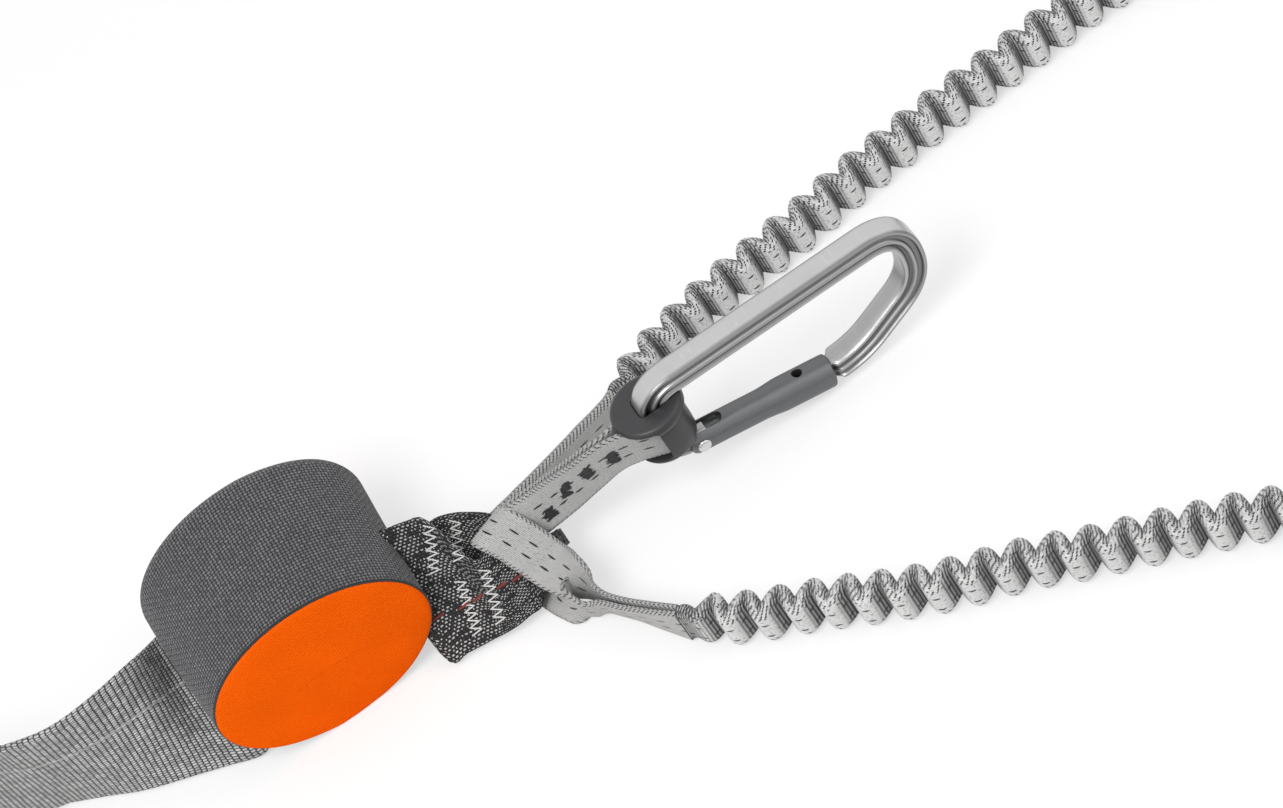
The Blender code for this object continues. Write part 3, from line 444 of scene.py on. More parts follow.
def webbingPaint(name, total, edgeReach=None):
    reach = edgeReach or webbing["edgeReach"]
    paint = Paint(name, roughness=0.78, gloss=0.25, sheen=0.15)
    u, v, flat = paint.strip()
    f = faceOf(v, total)
    rib = fromMiddle(f / webbing["rib"])                           # 1 in the groove between two ribs
    streak = paint.speckle(flat, 1.0, 3.0, 0.6, stretch=(0.35, 2.4, 1))
    cloud = paint.speckle(flat, 0.16, 2.0)
    grain = paint.speckle(flat, 1.0, 2.0, 0.7, stretch=(1.6, 2.0, 1))
    # painted shade: the gap between two ribs is darker
    tone = (1.16 - rib.ramp(0.40, 0.9) * 0.50) * (0.74 + streak * 0.34 + cloud * 0.18)
    colour = paint.shaded(paint.mix(grain.ramp(0.30, 0.48), webbing["dark"], webbing["light"]), tone)
    edge = total / 4 - abs(f)                                      # 0 on the edge's own line
    mark = ((u / webbing["chevron"] + edge * 0.62 + cloud * 0.5) % 1) < 0.40
    cell = abs((edge / 0.62) % 1 - 0.5) < 0.33
    braid = mark * cell * (edge < reach)
    dash = dashes(u, f, webbing["dashPeriod"], webbing["dashHalf"], webbing["dashThick"], webbing["rows"])
    dark = dash.most(braid)
    colour = paint.mix(dark, colour, webbing["black"])
    height = (1 - rib) * 0.5 + grain * 0.3 - dark * 0.3
    return paint.finished(colour, height, 0.00022, 0.8)


armLook = {
    "light": (0.63, 0.63, 0.625), "dark": (0.12, 0.12, 0.12), "black": (0.010, 0.010, 0.011),
    "rib": 0.50, "column": 1.35, "dashHalf": 1.25, "dashThick": 0.32, "rows": 2.7, "rowMiddle": 0.6,
    "topReach": 4.6, "chevron": 1.75,
}


def armPaint(name, total, wave):
    # gathered webbing: ribs round each lobe, painted shade in the creases and between the ribs, chevrons over
    # the top edge
    paint = Paint(name, roughness=0.8, gloss=0.22, sheen=0.15)
    u, v, flat = paint.strip()
    fold = paint.attribute("fold")
    f = faceOf(v, total)
    rear = (v > total / 4) * (v < total * 3 / 4)
    way = u + (1 - rear) * (wave / 6)
    rib, column = fromMiddle(f / armLook["rib"]), fromMiddle(u / armLook["column"])
    streak = paint.speckle(flat, 1.0, 3.0, 0.65, stretch=(1.1, 1.9, 1))
    cloud = paint.speckle(flat, 0.14, 2.0)
    # painted shade: the gaps between ribs are darker, and where the fold attribute is deep, in the valleys
    # between lobes, the rib and column gaps go towards black
    creaseShade = (rib.ramp(0.20, 0.70) * 0.7 + column.ramp(0.30, 0.75) * 0.8) * fold.ramp(0.08, 0.52)
    tone = (1.14 - rib.ramp(0.5, 1.0) * 0.30) * (0.72 + streak * 0.40 + cloud * 0.16)
    colour = paint.shaded(paint.mix(streak.ramp(0.30, 0.46), armLook["dark"], armLook["light"]), tone)
    colour = paint.mix(creaseShade.least(0.93), colour, armLook["black"])
    top = total / 4 - abs(f)
    slant = u / armLook["chevron"] + top * 0.42 + streak * 0.45
    cell = abs((top / 0.66) % 1 - 0.5) < 0.34
    braid = ((slant % 1) < 0.42) * cell * (top < armLook["topReach"]) * (paint.lone(slant, top / 0.66) > 0.28)
    dash = dashes(way, f, wave / 3, armLook["dashHalf"], armLook["dashThick"], armLook["rows"],
                  armLook["rowMiddle"])
    dark = dash.most(braid)
    colour = paint.mix(dark, colour, armLook["black"])
    height = (1 - rib) * 0.45 + (1 - column) * 0.35 * fold.ramp(0.0, 0.5) + streak * 0.4 - dark * 0.3
    return paint.finished(colour, height, 0.00030, 0.85)


absorberLook = {"yarn": (0.016, 0.016, 0.017), "lit": (0.032, 0.032, 0.034), "speck": (0.62, 0.62, 0.61),
                "long": 1.55, "wide": 0.98}


def absorberPaint(name):
    # heavy black yarns with a pale thread showing between them in regular rows
    paint = Paint(name, roughness=0.72, gloss=0.3)
    u, v, flat = paint.strip()
    wobble = paint.speckle(flat, 0.35, 2.0) - 0.5
    row = v / absorberLook["wide"] + wobble * 0.35
    brick = u / absorberLook["long"] + (row.floor() % 2) * 0.5 + wobble * 0.3
    a, b = fromMiddle(brick), fromMiddle(row)
    crown = (1 - a * a) * (1 - b * b)
    grain = paint.speckle(flat, 2.4, 2.0, 0.7)
    lone = paint.lone(brick, row)
    speck = (a > 0.52) * (b < 0.50) * (lone > 0.32)
    colour = paint.mix(crown.ramp(0.2, 0.9), absorberLook["yarn"], absorberLook["lit"])
    colour = paint.shaded(colour, 0.6 + grain * 0.8)
    colour = paint.mix(speck * (0.55 + lone * 0.45), colour, absorberLook["speck"])
    return paint.finished(colour, crown + grain * 0.25, 0.00050, 0.9)


tieLook = {"pale": (0.62, 0.62, 0.615), "deep": (0.030, 0.030, 0.032), "row": 1.8, "bead": 0.9, "line": 6.5}


def tiePaint(name, total):
    # bright beads in rows across the webbing, dark between the rows, and one pale lengthwise line
    paint = Paint(name, roughness=0.8, gloss=0.25, sheen=0.1)
    u, v, flat = paint.strip()
    f = faceOf(v, total)
    wobble = paint.speckle(flat, 0.5, 2.0) - 0.5
    row = u / tieLook["row"] + wobble * 0.35
    bead = f / tieLook["bead"] + (row.floor() % 2) * 0.5 + wobble * 0.3
    a, b = fromMiddle(row), fromMiddle(bead)
    crown = (1 - a * a) * (1 - b * b)
    lone = paint.lone(row, bead)
    streak = paint.speckle(flat, 1.0, 3.0, 0.6, stretch=(0.12, 1.1, 1))
    line = (abs(f - tieLook["line"]) < 0.5) * 0.45
    lit = (crown.ramp(0.10, 0.62) * (0.50 + lone * 0.50)).most(line)
    colour = paint.shaded(paint.mix(lit, tieLook["deep"], tieLook["pale"]), 0.78 + streak * 0.45)
    return paint.finished(colour, crown, 0.00045, 0.9)


def clothPaint(name, deep, lit, pitch, depth, contrast=1.0, sheen=0.2):
    # plain weave: over and under in two directions
    paint = Paint(name, roughness=0.85, gloss=sheen, sheen=sheen, sheenRough=0.4)
    u, v, flat = paint.strip()
    wobble = paint.speckle(flat, 0.30, 2.0) - 0.5
    a, b = u / pitch + wobble * 0.5, v / pitch + wobble * 0.4
    over = (a.floor() + b.floor()) % 2
    wave = (1 - fromMiddle(a)) * (1 - fromMiddle(b) * 0.6)
    weft = (1 - fromMiddle(b)) * (1 - fromMiddle(a) * 0.6)
    height = over * wave + (1 - over) * weft
    lone = paint.lone(a, b)
    grain = paint.speckle(flat, 1.8, 3.0, 0.7)
    cloud = paint.speckle(flat, 0.05, 2.0)
    share = height.ramp(0.05, 0.85) * (0.55 + lone * 0.45 * contrast) + over * 0.08
    colour = paint.shaded(paint.mix(share, deep, lit), 0.70 + grain * 0.34 + cloud * 0.26)
    paint.to("Roughness", grain * 0.2 + 0.75)
    return paint.finished(colour, height + grain * 0.2, depth, 0.9)


def rubberPaint(name):
    paint = Paint(name, roughness=0.42, gloss=0.45)
    place = paint.object()
    fine, cloud = paint.speckle(place, 2600.0, 3.0), paint.speckle(place, 90.0, 2.0)
    colour = paint.mix(cloud, (0.025, 0.025, 0.027), (0.040, 0.040, 0.043))
    paint.to("Roughness", 0.30 + cloud * 0.18 + fine * 0.08)
    return paint.finished(paint.shaded(colour, 0.85 + fine * 0.3), fine, 0.00002, 0.5)


def alloyPaint(name, colour, roughness, wear=0.0, paintedShade=0.0):
    # forged and tumbled alloy: soft streaks, small handling marks
    paint = Paint(name, roughness=roughness, metallic=1.0)
    place = paint.object()
    streak = paint.speckle(place, 260.0, 3.0, 0.6)
    fine, cloud = paint.speckle(place, 3200.0, 2.0), paint.speckle(place, 45.0, 3.0)
    mark = (paint.speckle(place, 700.0, 2.0, 0.7, stretch=(1, 0.2, 1)) > 0.66) * wear
    tone = 0.90 + streak * 0.10 + cloud * 0.10 + mark * 0.12
    # painted shade: each section point's darkness, kept in the fold attribute, darkens each groove and the
    # side faces; the outer face stays light
    if paintedShade:
        tone = tone * (1 - paint.attribute("fold") * paintedShade)
    colour = paint.shaded(paint.mix(cloud, colour, tuple(c * 0.94 for c in colour)), tone)
    paint.to("Roughness", (roughness - 0.06) + streak * 0.10 + cloud * 0.08 - mark * 0.05)
    return paint.finished(colour, fine * 0.5 + streak * 0.5, 0.000015, 0.4)


def threadPaint(name, colour):
    paint = Paint(name, roughness=0.6, gloss=0.35, sheen=0.2)
    u, v = paint.strip()[:2]
    twist = fromMiddle(u / 0.55 + v / 0.7)
    # painted shade: darker in the hollow between the twisted plies
    colour = paint.shaded(paint.mix(twist, colour, tuple(c * 0.72 for c in colour)), 1.0 + twist * 0.05)
    return paint.finished(colour, 1 - twist, 0.00008, 0.7)


strap = {"wide": 15 * mm, "thick": 1.8 * mm, "hitch": 66.8 * mm, "steps": 9}
plyOffset = strap["thick"] / 2 + gap
strapSection = flatSection(strap["wide"] / 2, strap["thick"])
strapRound = aroundOf(strapSection)
paints = {
    "strap": webbingPaint("armWebbing", strapRound[-1] / mm),
    "absorber": absorberPaint("absorberWebbing"),
    "sleeve": clothPaint("sleeveFabric", (0.012, 0.012, 0.014), (0.250, 0.250, 0.262), 1.2, 0.00045),
    "cap": clothPaint("capFabric", (0.80, 0.080, 0.002), (1.0, 0.190, 0.005), 0.72, 0.00022, 0.5, 0.0),
    # near-black cloth of the ring at the front seam, partly the real dark edge and partly painted shade
    "bindingAndSeamShade": clothPaint("bindingFabricAndSeamShade", (0.020, 0.020, 0.022), (0.075, 0.075, 0.080), 0.7, 0.00020),
    "rubber": rubberPaint("keeperRubber"),
    # 0.88 is how strongly the painted shade darkens each groove and side face of the bright bodies
    "bright": alloyPaint("brightAlloy", (0.58, 0.58, 0.58), 0.34, 0.5, 0.88),
    "anodised": alloyPaint("anodisedAlloy", (0.165, 0.168, 0.172), 0.40, 0.2),
    "steel": alloyPaint("steel", (0.68, 0.68, 0.68), 0.24, 0.3),
    "white": threadPaint("whiteThread", (0.72, 0.72, 0.71)),
    "red": threadPaint("redThread", (0.20, 0.022, 0.014)),
    "blackThread": threadPaint("blackThread", (0.014, 0.014, 0.015)),
}
print("materials made:", len(paints))


# the two elastic arms, made first

arms = {
    "pitch": 10.4 * mm, "swing": 3.4 * mm, "half": 2.3 * mm, "width": 15.0 * mm, "round": 2.6 * mm,
    "stations": 8, "finer": 3,
    "upper": (
        (116.8, 4.2), (130.0, 11.0), (152.0, 17.0), (174.0, 20.0), (196.0, 22.2), (216.0, 25.2),
        (236.0, 26.8), (254.0, 28.0), (273.0, 28.8), (292.0, 29.7), (308.0, 30.3), (325.0, 29.5),
        (343.0, 23.7), (359.0, 13.7), (372.0, -0.3), (380.0, -18.0), (383.0, -37.0), (383.5, -56.0),
        (383.5, -76.0), (383.5, -96.0), (383.5, -116.0), (383.5, -136.0), (383.5, -150.0),
    ),
    "lower": (
        (96.1, -81.6), (107.0, -89.5), (115.0, -95.0), (133.0, -106.0), (149.0, -116.5), (166.0, -126.2),
        (184.0, -134.5), (199.0, -143.0), (216.0, -152.0), (231.0, -160.0), (248.0, -169.5), (262.0, -179.5),
        (274.0, -194.0), (280.0, -212.0), (278.0, -231.0), (268.5, -248.0), (254.0, -260.0), (236.0, -266.0),
        (216.0, -267.0), (196.0, -267.0), (176.0, -267.0), (158.0, -267.0),
    ),
    "blend": {"upper": ((0.3835, -0.02, 0), (0.3835, -0.15, 0)),
              "lower": ((0.2685, -0.248, 0), (0.2208, -0.3131, 0))},
}


def route(which):
    return [Vector((x * mm, y * mm, arms["width"] / 2 + gap)) for x, y in arms[which]]


def waveReach(phase, swing):
    # how far the thick wave stands out on its left at a phase
    best = -1.0
    for k in range(49):
        shift = arms["half"] * (k / 24 - 1)
        rise = math.sqrt(max(arms["half"] ** 2 - shift ** 2, 0))
        best = max(best, rise + swing * math.cos(phase + 2 * math.pi * shift / arms["pitch"]))
    return best


def armSection(halfWide, halfHigh):
    # upright section with full-round top and bottom, from the middle of the left side
    high = arms["round"]
    wide = halfWide * 0.9
    straight = halfHigh - high
    quarter = [(halfWide, straight * k / 5) for k in range(5)]
    quarter += [(halfWide - wide + wide * math.cos(a), straight + high * math.sin(a))
                for a in (math.pi / 2 * k / 6 for k in range(7))]
    second = [(-x, y) for x, y in reversed(quarter)][1 if quarter[-1][0] < 1e-9 else 0:]
    top = quarter + second
    return top[:-1] + [(-x, -y) for x, y in top][:-1]


def addArm(which):
    name = which + "ArmWebbing"
    line = smoothPath(route(which), 8)
    coarse = round(lengthOf(line) * arms["stations"] / arms["pitch"])
    count = coarse * arms["finer"]
    points = evenly(line, count)
    perWave = arms["stations"] * arms["finer"]
    table = [waveReach(2 * math.pi * k / perWave, arms["swing"]) for k in range(perWave)]
    most, least = max(table), min(table)
    step = arms["pitch"] / perWave
    rises = [math.hypot(table[k] - table[k - 1], step) for k in range(perWave)]
    wave = sum(rises)
    rings, folds, along = [], [], []

    def wayAt(place):
        return wave * (place // perWave) + sum(rises[1:place % perWave + 1])

    for i, (p, h) in enumerate(zip(points, headings(points))):
        side = Vector((-h.y, h.x, 0))
        fade = min(min(i, count - i) / perWave, 1.0)
        phase = 2 * math.pi * i / perWave
        if fade < 1:
            swing = arms["swing"] * fade
            left, right = waveReach(phase, swing), -waveReach(phase + math.pi, swing)
        else:
            left, right = table[i % perWave], -table[(i + perWave // 2) % perWave]
        puff = 1 + 0.06 * noise.noise(Vector((i / perWave * 1.7, 3.1 if which == "upper" else 8.4, 0)))
        left, right = left * puff, right * puff
        leftWay, rightWay = wayAt(i), wayAt(i + perWave // 2) - wave / 2
        section = armSection((left - right) / 2, arms["width"] / 2)
        middle = (left + right) / 2
        rings.append([p + side * (middle + a) + up * z for a, z in section])
        # fold is 0 on a lobe's crest and 1 deep in the valley between lobes; the arm's paint darkens by it as
        # painted shade
        leftFold, rightFold = (most - left) / (most - least), (most + right) / (most - least)
        ways = [0.5 - 0.5 * min(max(a / (left - right) * 2, -1), 1) for a, z in section]
        folds.append([leftFold + (rightFold - leftFold) * share for share in ways])
        along.append([leftWay + (rightWay - leftWay) * share for share in ways])
    around = aroundOf(armSection(arms["half"] * 1.35, arms["width"] / 2))
    paint = armPaint(name, around[-1] / mm, wave / mm)
    piece = skin(name, rings, paint, around, along + along[:1], extra=folds, sharp=70)
    return piece, line


armPieces = {which: addArm(which) for which in ("upper", "lower")}
print("arms made")


# absorber pouch

pouch = {
    "halfLength": 36.7 * mm, "halfHeight": 27.1 * mm, "depth": 61.0 * mm, "flat": 0.8 * mm, "wall": 1.6 * mm,
    "rim": 7.0 * mm, "roll": 1.1 * mm, "bulge": 1.0 * mm, "puff": 3.0 * mm, "crown": 1.0 * mm, "points": 144,
    "sway": 0.35 * mm, "pucker": 0.16 * mm, "puckerReach": 9 * mm, "seamRing": 0.62 * mm, "seamRingIn": 0.4 * mm,
    "recess": 1.2 * mm, "dome": 2.4 * mm, "thick": 1.8 * mm, "lap": 1.6 * mm, "lip": 0.5 * mm,
    "least": 0.1 * mm, "ground": 0.05 * mm, "turnIn": 1.3 * mm,
}
pouchMiddle = pouch["halfHeight"] - pouch["flat"]


def pouchPuff(angle, y):
    # the filled sleeve swells towards its back, on the left and a little on top
    share = min(max(y / pouch["depth"] + 0.5, 0), 1)
    full = share * (2 - share)
    return Vector((-pouch["puff"] * full * max(-math.cos(angle), 0) ** 1.2, 0,
                   pouch["crown"] * full * max(math.sin(angle), 0) ** 2))


def pouchRing(y, inset, soft=1.0):
    bulge = pouch["bulge"] * (0.5 + y / pouch["depth"])
    a, b = pouch["halfLength"] + bulge - inset, pouch["halfHeight"] - inset
    ring = []
    near = max(0.0, 1 - (y + pouch["depth"] / 2) / pouch["puckerReach"])
    for angle in circle(pouch["points"]):
        p = Vector((a * math.cos(angle), y, pouchMiddle + b * math.sin(angle)))
        pucker = near * pouch["pucker"] * math.sin(angle * 61 + 2 * math.sin(angle * 7))
        sway = pouch["sway"] * noise.noise(p * 45) + pucker
        p -= Vector((math.cos(angle), 0, math.sin(angle))) * abs(sway) * soft
        p += pouchPuff(angle, y)
        ring.append(Vector((p.x, p.y, max(p.z, pouch["ground"]))))
    return ring


def addSleeve(cutters):
    front, back, wall = -pouch["depth"] / 2, pouch["depth"] / 2, pouch["wall"]
    roll, rim = pouch["roll"], pouch["rim"]
    rings = []
    for k in range(9):                                            # the front edge, rolled in
        angle = math.pi * k / 8
        inset = wall / 2 + wall / 2 * math.cos(angle)
        rings.append(pouchRing(front + roll * (1 - math.sin(angle)), inset, 0.4))
    for k in range(1, 16):
        rings.append(pouchRing(front + roll + (pouch["depth"] - roll - rim) * k / 15, 0))
    quarter = [math.pi / 2 * k / 12 for k in range(13)]
    for angle in quarter[1:]:                                     # the back edge, well rounded
        rings.append(pouchRing(back - rim * (1 - math.sin(angle)), rim * (1 - math.cos(angle))))
    inner = rim - wall
    for angle in reversed(quarter):
        rings.append(pouchRing(back - rim + inner * math.sin(angle), rim - inner * math.cos(angle), 0))
    rings.append(pouchRing(front + pouch["turnIn"], wall, 0))
    around = aroundOf([(p.x, p.z) for p in pouchRing(0, 0, 0)])
    sleeve = skin("sleeveFabric", rings, paints["sleeve"], around, closed=True, sharp=60)
    carve(sleeve, cutters)
    return stand(sleeve, "lanyard", "pouch_sleeve")


def mapFlat(piece, first, second):
    # weave squared to the piece instead of round it
    flat = piece.data.uv_layers["UVMap"]
    for corner in piece.data.loops:
        p = piece.data.vertices[corner.vertex_index].co
        flat.data[corner.index].uv = (p[first] / mm, p[second] / mm)


def addCap(name, node, face, outward, share, lap):
    # a disc held in the sleeve's end, its domed face laid over the end's rim by the lap
    a = (pouch["halfLength"] - pouch["wall"] - gap) * share
    b = (pouch["halfHeight"] - pouch["wall"] - gap) * share
    inner, rim = -pouch["recess"] - pouch["thick"], 0.15 * mm if lap else -pouch["recess"]
    edge, lip = 0.35 * mm, pouch["lip"]
    profile = [(a * k / 8, inner) for k in range(8)]
    profile += [(a * 0.985, inner), (a, inner + 0.4 * mm), (a, rim - pouch["least"])]
    profile += [(a + lap - edge * (1 - k / 3), rim + lip * k / 3) for k in range(4)]
    for k in range(1, 17):
        angle = math.pi / 2 * k / 16
        profile.append(((a + lap) * math.cos(angle), rim + lip + pouch["dome"] * math.sin(angle)))
    rings = []
    for reach, lift in profile:
        y, inward, ring = face + outward * lift, min(reach / a, 1), []
        for angle in circle(96):
            high = max(pouchMiddle + (reach - a + b) * math.sin(angle) * inward, pouch["least"])
            p = Vector((reach * math.cos(angle), y, high)) + pouchPuff(angle, y) * inward
            if lift > rim + lip + pouch["least"]:
                p.y += outward * 0.25 * mm * noise.noise(p * 70)
            ring.append(p)
        rings.append(ring)
    cap = skin(name, rings, paints["cap"], [k * mm for k in range(97)], sharp=70)
    mapFlat(cap, 0, 2)
    return stand(cap, "lanyard", node)


def addPipingAndSeamShade():
    # the dark turned edge between the cap and the sleeve, a near-black ring that is also painted shade: the
    # shadow line where the sleeve's rim meets the cap
    r, inward, rings = pouch["seamRing"], pouch["seamRingIn"], []
    for angle in circle(160):
        out = Vector((math.cos(angle), 0, math.sin(angle)))
        p = Vector(((pouch["halfLength"] - inward) * math.cos(angle), -pouch["depth"] / 2 + pouch["least"],
                    pouchMiddle + (pouch["halfHeight"] - inward) * math.sin(angle)))
        p.z = max(p.z, r + pouch["least"])
        rings.append([p + out * r * math.cos(a) + Vector((0, r * math.sin(a), 0)) for a in circle(10)])
    return stand(skin("pouchPipingAndSeamShade", rings, paints["bindingAndSeamShade"], closed=True), "lanyard")


tear = {"width": 44 * mm, "thick": 2.2 * mm, "pitch": 3.4 * mm, "long": 21 * mm, "height": 13.5 * mm,
        "folds": 7}


def addTearWebbing():
    centres = []
    for fold in range(tear["folds"]):
        height, way = tear["height"] + fold * tear["pitch"], 1 if fold % 2 == 0 else -1
        end, bend = way * tear["long"] / 2, tear["pitch"] / 2
        centres += [Vector((-end + 2 * end * k / 6, 0, height)) for k in range(6)]
        if fold == tear["folds"] - 1:
            centres.append(Vector((end, 0, height)))
            break
        for k in range(9):
            a = math.pi * (k / 8 - 0.5)
            centres.append(Vector((end + way * bend * math.cos(a), 0, height + bend + bend * math.sin(a))))
    section = flatSection(tear["width"] / 2, tear["thick"], 6)
    rings = stripRings(centres, [Vector((0, 1, 0))] * len(centres), section)
    around = aroundOf(section)
    paint = tiePaint("tearWebbing", around[-1] / mm)
    return stand(skin("tearWebbing", rings, paint, around), "lanyard", "tear_webbing")


tieIn = {
    "width": 45 * mm, "thick": 2.2 * mm, "tail": 118 * mm, "eyeLong": 46 * mm, "eyeHigh": 12.5 * mm,
    "slit": 0.35 * mm, "slitSteps": 25,
    "near": (
        (-0.33, -0.36, 0.20), (-0.49, -0.43, 0.21), (-0.60, -0.53, 0.12), (-0.73, -0.545, 0.032),
        (-0.98, -0.445, 0.032), (-1.27, -0.32, 0.032), (-1.555, -0.19, 0.032), (-1.80, -0.035, 0.032),
        (-2.045, 0.11, 0.032),
    ),
    "far": (
        (-0.31, 0.355, 0.78), (-0.49, 0.355, 0.77), (-0.62, 0.335, 0.745), (-0.755, 0.32, 0.71),
        (-0.935, 0.31, 0.665), (-1.098, -0.022, 0.969), (-1.458, -0.136, 1.024), (-1.776, -0.136, 1.024),
        (-2.08, -0.03, 1.015),
    ),
    "back": ((0.35, 1.0), (0.62, 0.72), (0.85, 0.18), (1.0, 0.0), (1.25, 0.0), (1.5, 0.0)),
}


def edgeRings(nears, fars, thickness, halfWidth, grow=0.0):
    # rings of a webbing that is given by its two edges
    section = flatSection(halfWidth + grow, thickness + 2 * grow)
    centres = [(a + b) / 2 for a, b in zip(nears, fars)]
    rings = []
    for a, b, c, h in zip(nears, fars, centres, headings(centres)):
        side = (b - a).normalized()
        out = (b - a).cross(h).normalized()
        scale = ((b - a).length / 2 + grow) / (halfWidth + grow)
        rings.append([c + side * x * scale + out * y for x, y in section])
    return rings


def onGround(rings, floor=gap):
    return [[p + up * max(floor - min(q.z for q in ring), 0) for p in ring] for ring in rings]


def tieEdges(steps):
    # tilted at the pouch, then up on its edge, and back beside itself as the sewn eye
    nears = smoothPath([tieIn["width"] * Vector(p) for p in tieIn["near"]], steps)
    fars = smoothPath([tieIn["width"] * Vector(p) for p in tieIn["far"]], steps)
    way = nears[-1] - nears[-1 - steps]
    way = Vector((way.x, way.y, 0)).normalized()
    aside = Vector((way.y, -way.x, 0))
    middle = (nears[-1] + fars[-1]) / 2
    middle.z = gap + tieIn["width"] / 2
    straight = tieIn["tail"] - tieIn["eyeHigh"] / 2
    bend = (tieIn["eyeHigh"] - tieIn["thick"]) / 2
    centres = [middle + way * straight * share for share in (0.15, 0.3, 0.45, 0.6, 0.75, 0.9, 1.0)]
    for k in range(1, 13):
        a = math.radians(-90 + 180 * k / 12)
        centres.append(middle + way * (straight + bend * math.cos(a)) + aside * (bend + bend * math.sin(a)))
    low = tieIn["thick"] + 2 * gap
    for p in smoothPath([(run, wide, 0) for run, wide in tieIn["back"]], 4):
        centres.append(middle + way * (straight - tieIn["eyeLong"] * p.x)
                       + aside * (low + (2 * bend - low) * max(p.y, 0)))
    half = up * tieIn["width"] / 2
    return nears + [c - half for c in centres], fars + [c + half for c in centres]


def addTieIn():
    nears, fars = tieEdges(6)
    rings = onGround(edgeRings(nears, fars, tieIn["thick"], tieIn["width"] / 2))
    around = aroundOf(flatSection(tieIn["width"] / 2, tieIn["thick"]))
    paint = tiePaint("tieInWebbing", around[-1] / mm)
    stand(skin("tieInWebbing", rings, paint, around), "lanyard", "tie_in_webbing")
    last = tieIn["slitSteps"]
    slitRings = edgeRings(nears[:last], fars[:last], tieIn["thick"], tieIn["width"] / 2, tieIn["slit"])
    return asTool(skin("slit", onGround(slitRings, gap / 2), paint))


# black absorber webbing: a tilted slab that faces up and forward

slab = {"tilt": math.radians(42), "side": 40.4 * mm, "height": 1.4 * mm, "width": 45 * mm, "thick": 2.8 * mm,
        "flap": 1.6 * mm, "reach": 79 * mm, "rise": 3.5 * mm, "slit": 0.5 * mm}
slabSide = Vector((0, math.cos(slab["tilt"]), math.sin(slab["tilt"])))
slabOut = Vector((0, -math.sin(slab["tilt"]), math.cos(slab["tilt"])))
absorberRows = (
    (0.20, 0.78, 0.80, -1.00, 0), (0.36, 0.75, 0.70, -0.60, 0), (0.385, 0.55, 0.99, -0.44, 1),
    (0.46, 0.54, 1.00, -0.13, 1), (0.56, 0.51, 0.98, 0.1, 1), (0.62, 0.47, 0.93, 0.4, 1),
    (0.68, 0.272, 0.544, 0.75, 0.6), (0.74, 0.278, 0.54, 0.95, 0), (0.80, 0.29, 0.54, 1.0, 0),
    (0.86, 0.36, 0.44, 1.0, 0), (0.92, 0.33, 0.18, 1.0, 0), (0.96, 0.32, 0.14, 1.0, 0),
    (0.985, 0.315, 0.13, 0.86, 0), (1.0, 0.315, 0.13, 0.4, 0), (1.0, 0.315, 0.13, -0.5, 0),
    (0.985, 0.315, 0.13, -1.6, 0), (0.95, 0.33, 0.15, -2.0, 0), (0.88, 0.42, 0.32, -2.0, 0),
    (0.83, 0.50, 0.44, -2.0, 0), (0.76, 0.54, 0.56, -2.0, 0), (0.70, 0.57, 0.62, -1.7, 0),
    (0.64, 0.60, 0.62, -1.35, 0),
)


def onSlab(x, across, out):
    return Vector((x, -slab["side"], slab["height"])) + slabSide * across + slabOut * out


def slabSection(wide, half, lift=0.0):
    # round-edged, with a second ply's step on one side where there is a lift
    bends = [math.pi * k / 6 for k in range(1, 6)]
    out = [(wide * k / 10, half + lift * min(max((k / 10 - 0.02) / 0.12, 0), 1)) for k in range(10)]
    out += [(wide - half + half * math.sin(a), (half + lift / 2) * math.cos(a) + lift / 2) for a in bends]
    out += [(wide * (1 - k / 10), -half) for k in range(1, 20)]
    out += [(-wide + half - half * math.sin(a), -half * math.cos(a)) for a in bends]
    return out + [(-wide * (1 - k / 10), half) for k in range(1, 10)]


def absorberRings(grow=0.0, last=None, steps=4):
    rows = [(slab["reach"] * a, slab["width"] * c, slab["width"] * w / 2, slab["rise"] * o, f)
            for a, c, w, o, f in absorberRows]
    closed = -(slab["thick"] + 2 * gap)
    rows += [(slab["reach"] * a, slab["width"] * 0.60, slab["width"] * 0.30, closed, 0) for a in (0.59, 0.53)]
    columns = [smoothNumbers([row[k] for row in rows], steps) for k in range(5)]
    columns[4] = [min(max(n, 0), 1) for n in columns[4]]
    middles = [onSlab(x, w, o) for x, w, o in zip(columns[0], columns[1], columns[3])]
    rings = []
    half = slab["thick"] / 2 + grow
    for i, (m, h) in enumerate(zip(middles, headings(middles))):
        flat = Vector((h.x, 0, 0)) + slabOut * h.dot(slabOut)
        normal = flat.cross(slabSide).normalized()
        wide, lift = columns[2][i] + grow, slab["flap"] * columns[4][i]
        section = slabSection(wide, half, lift)
        rings.append([m + slabSide * a + normal * o for a, o in section])
    return rings[:last], aroundOf(slabSection(slab["width"] / 2, half))


def addAbsorber():
    rings, around = absorberRings()
    soft = ripple(onGround(rings), 5 * mm, 0.12 * mm, 4.2)
    piece = stand(skin("absorberWebbing", soft, paints["absorber"], around), "lanyard", "absorber_webbing")
    wider, around = absorberRings(slab["slit"], 6, 1)
    return piece, asTool(skin("slit", onGround(wider, gap / 2), paints["absorber"], around))


tieInSlit = addTieIn()
absorberPiece, absorberSlit = addAbsorber()
addSleeve([tieInSlit, absorberSlit])
addCap("frontCap", "pouch_cap_front", -pouch["depth"] / 2, -1, 1.0, pouch["lap"])
addCap("backCap", "pouch_cap_back", pouch["depth"] / 2, 1, 0.78, 0)
addPipingAndSeamShade()
addTearWebbing()
print("pouch and wide webbings made")


# straps at the hitch

def armFrame(which):
    first, second = route(which)[:2]
    way = (second - first).normalized()
    return Vector((first.x, first.y, 0)), way, Vector((-way.y, way.x, 0))


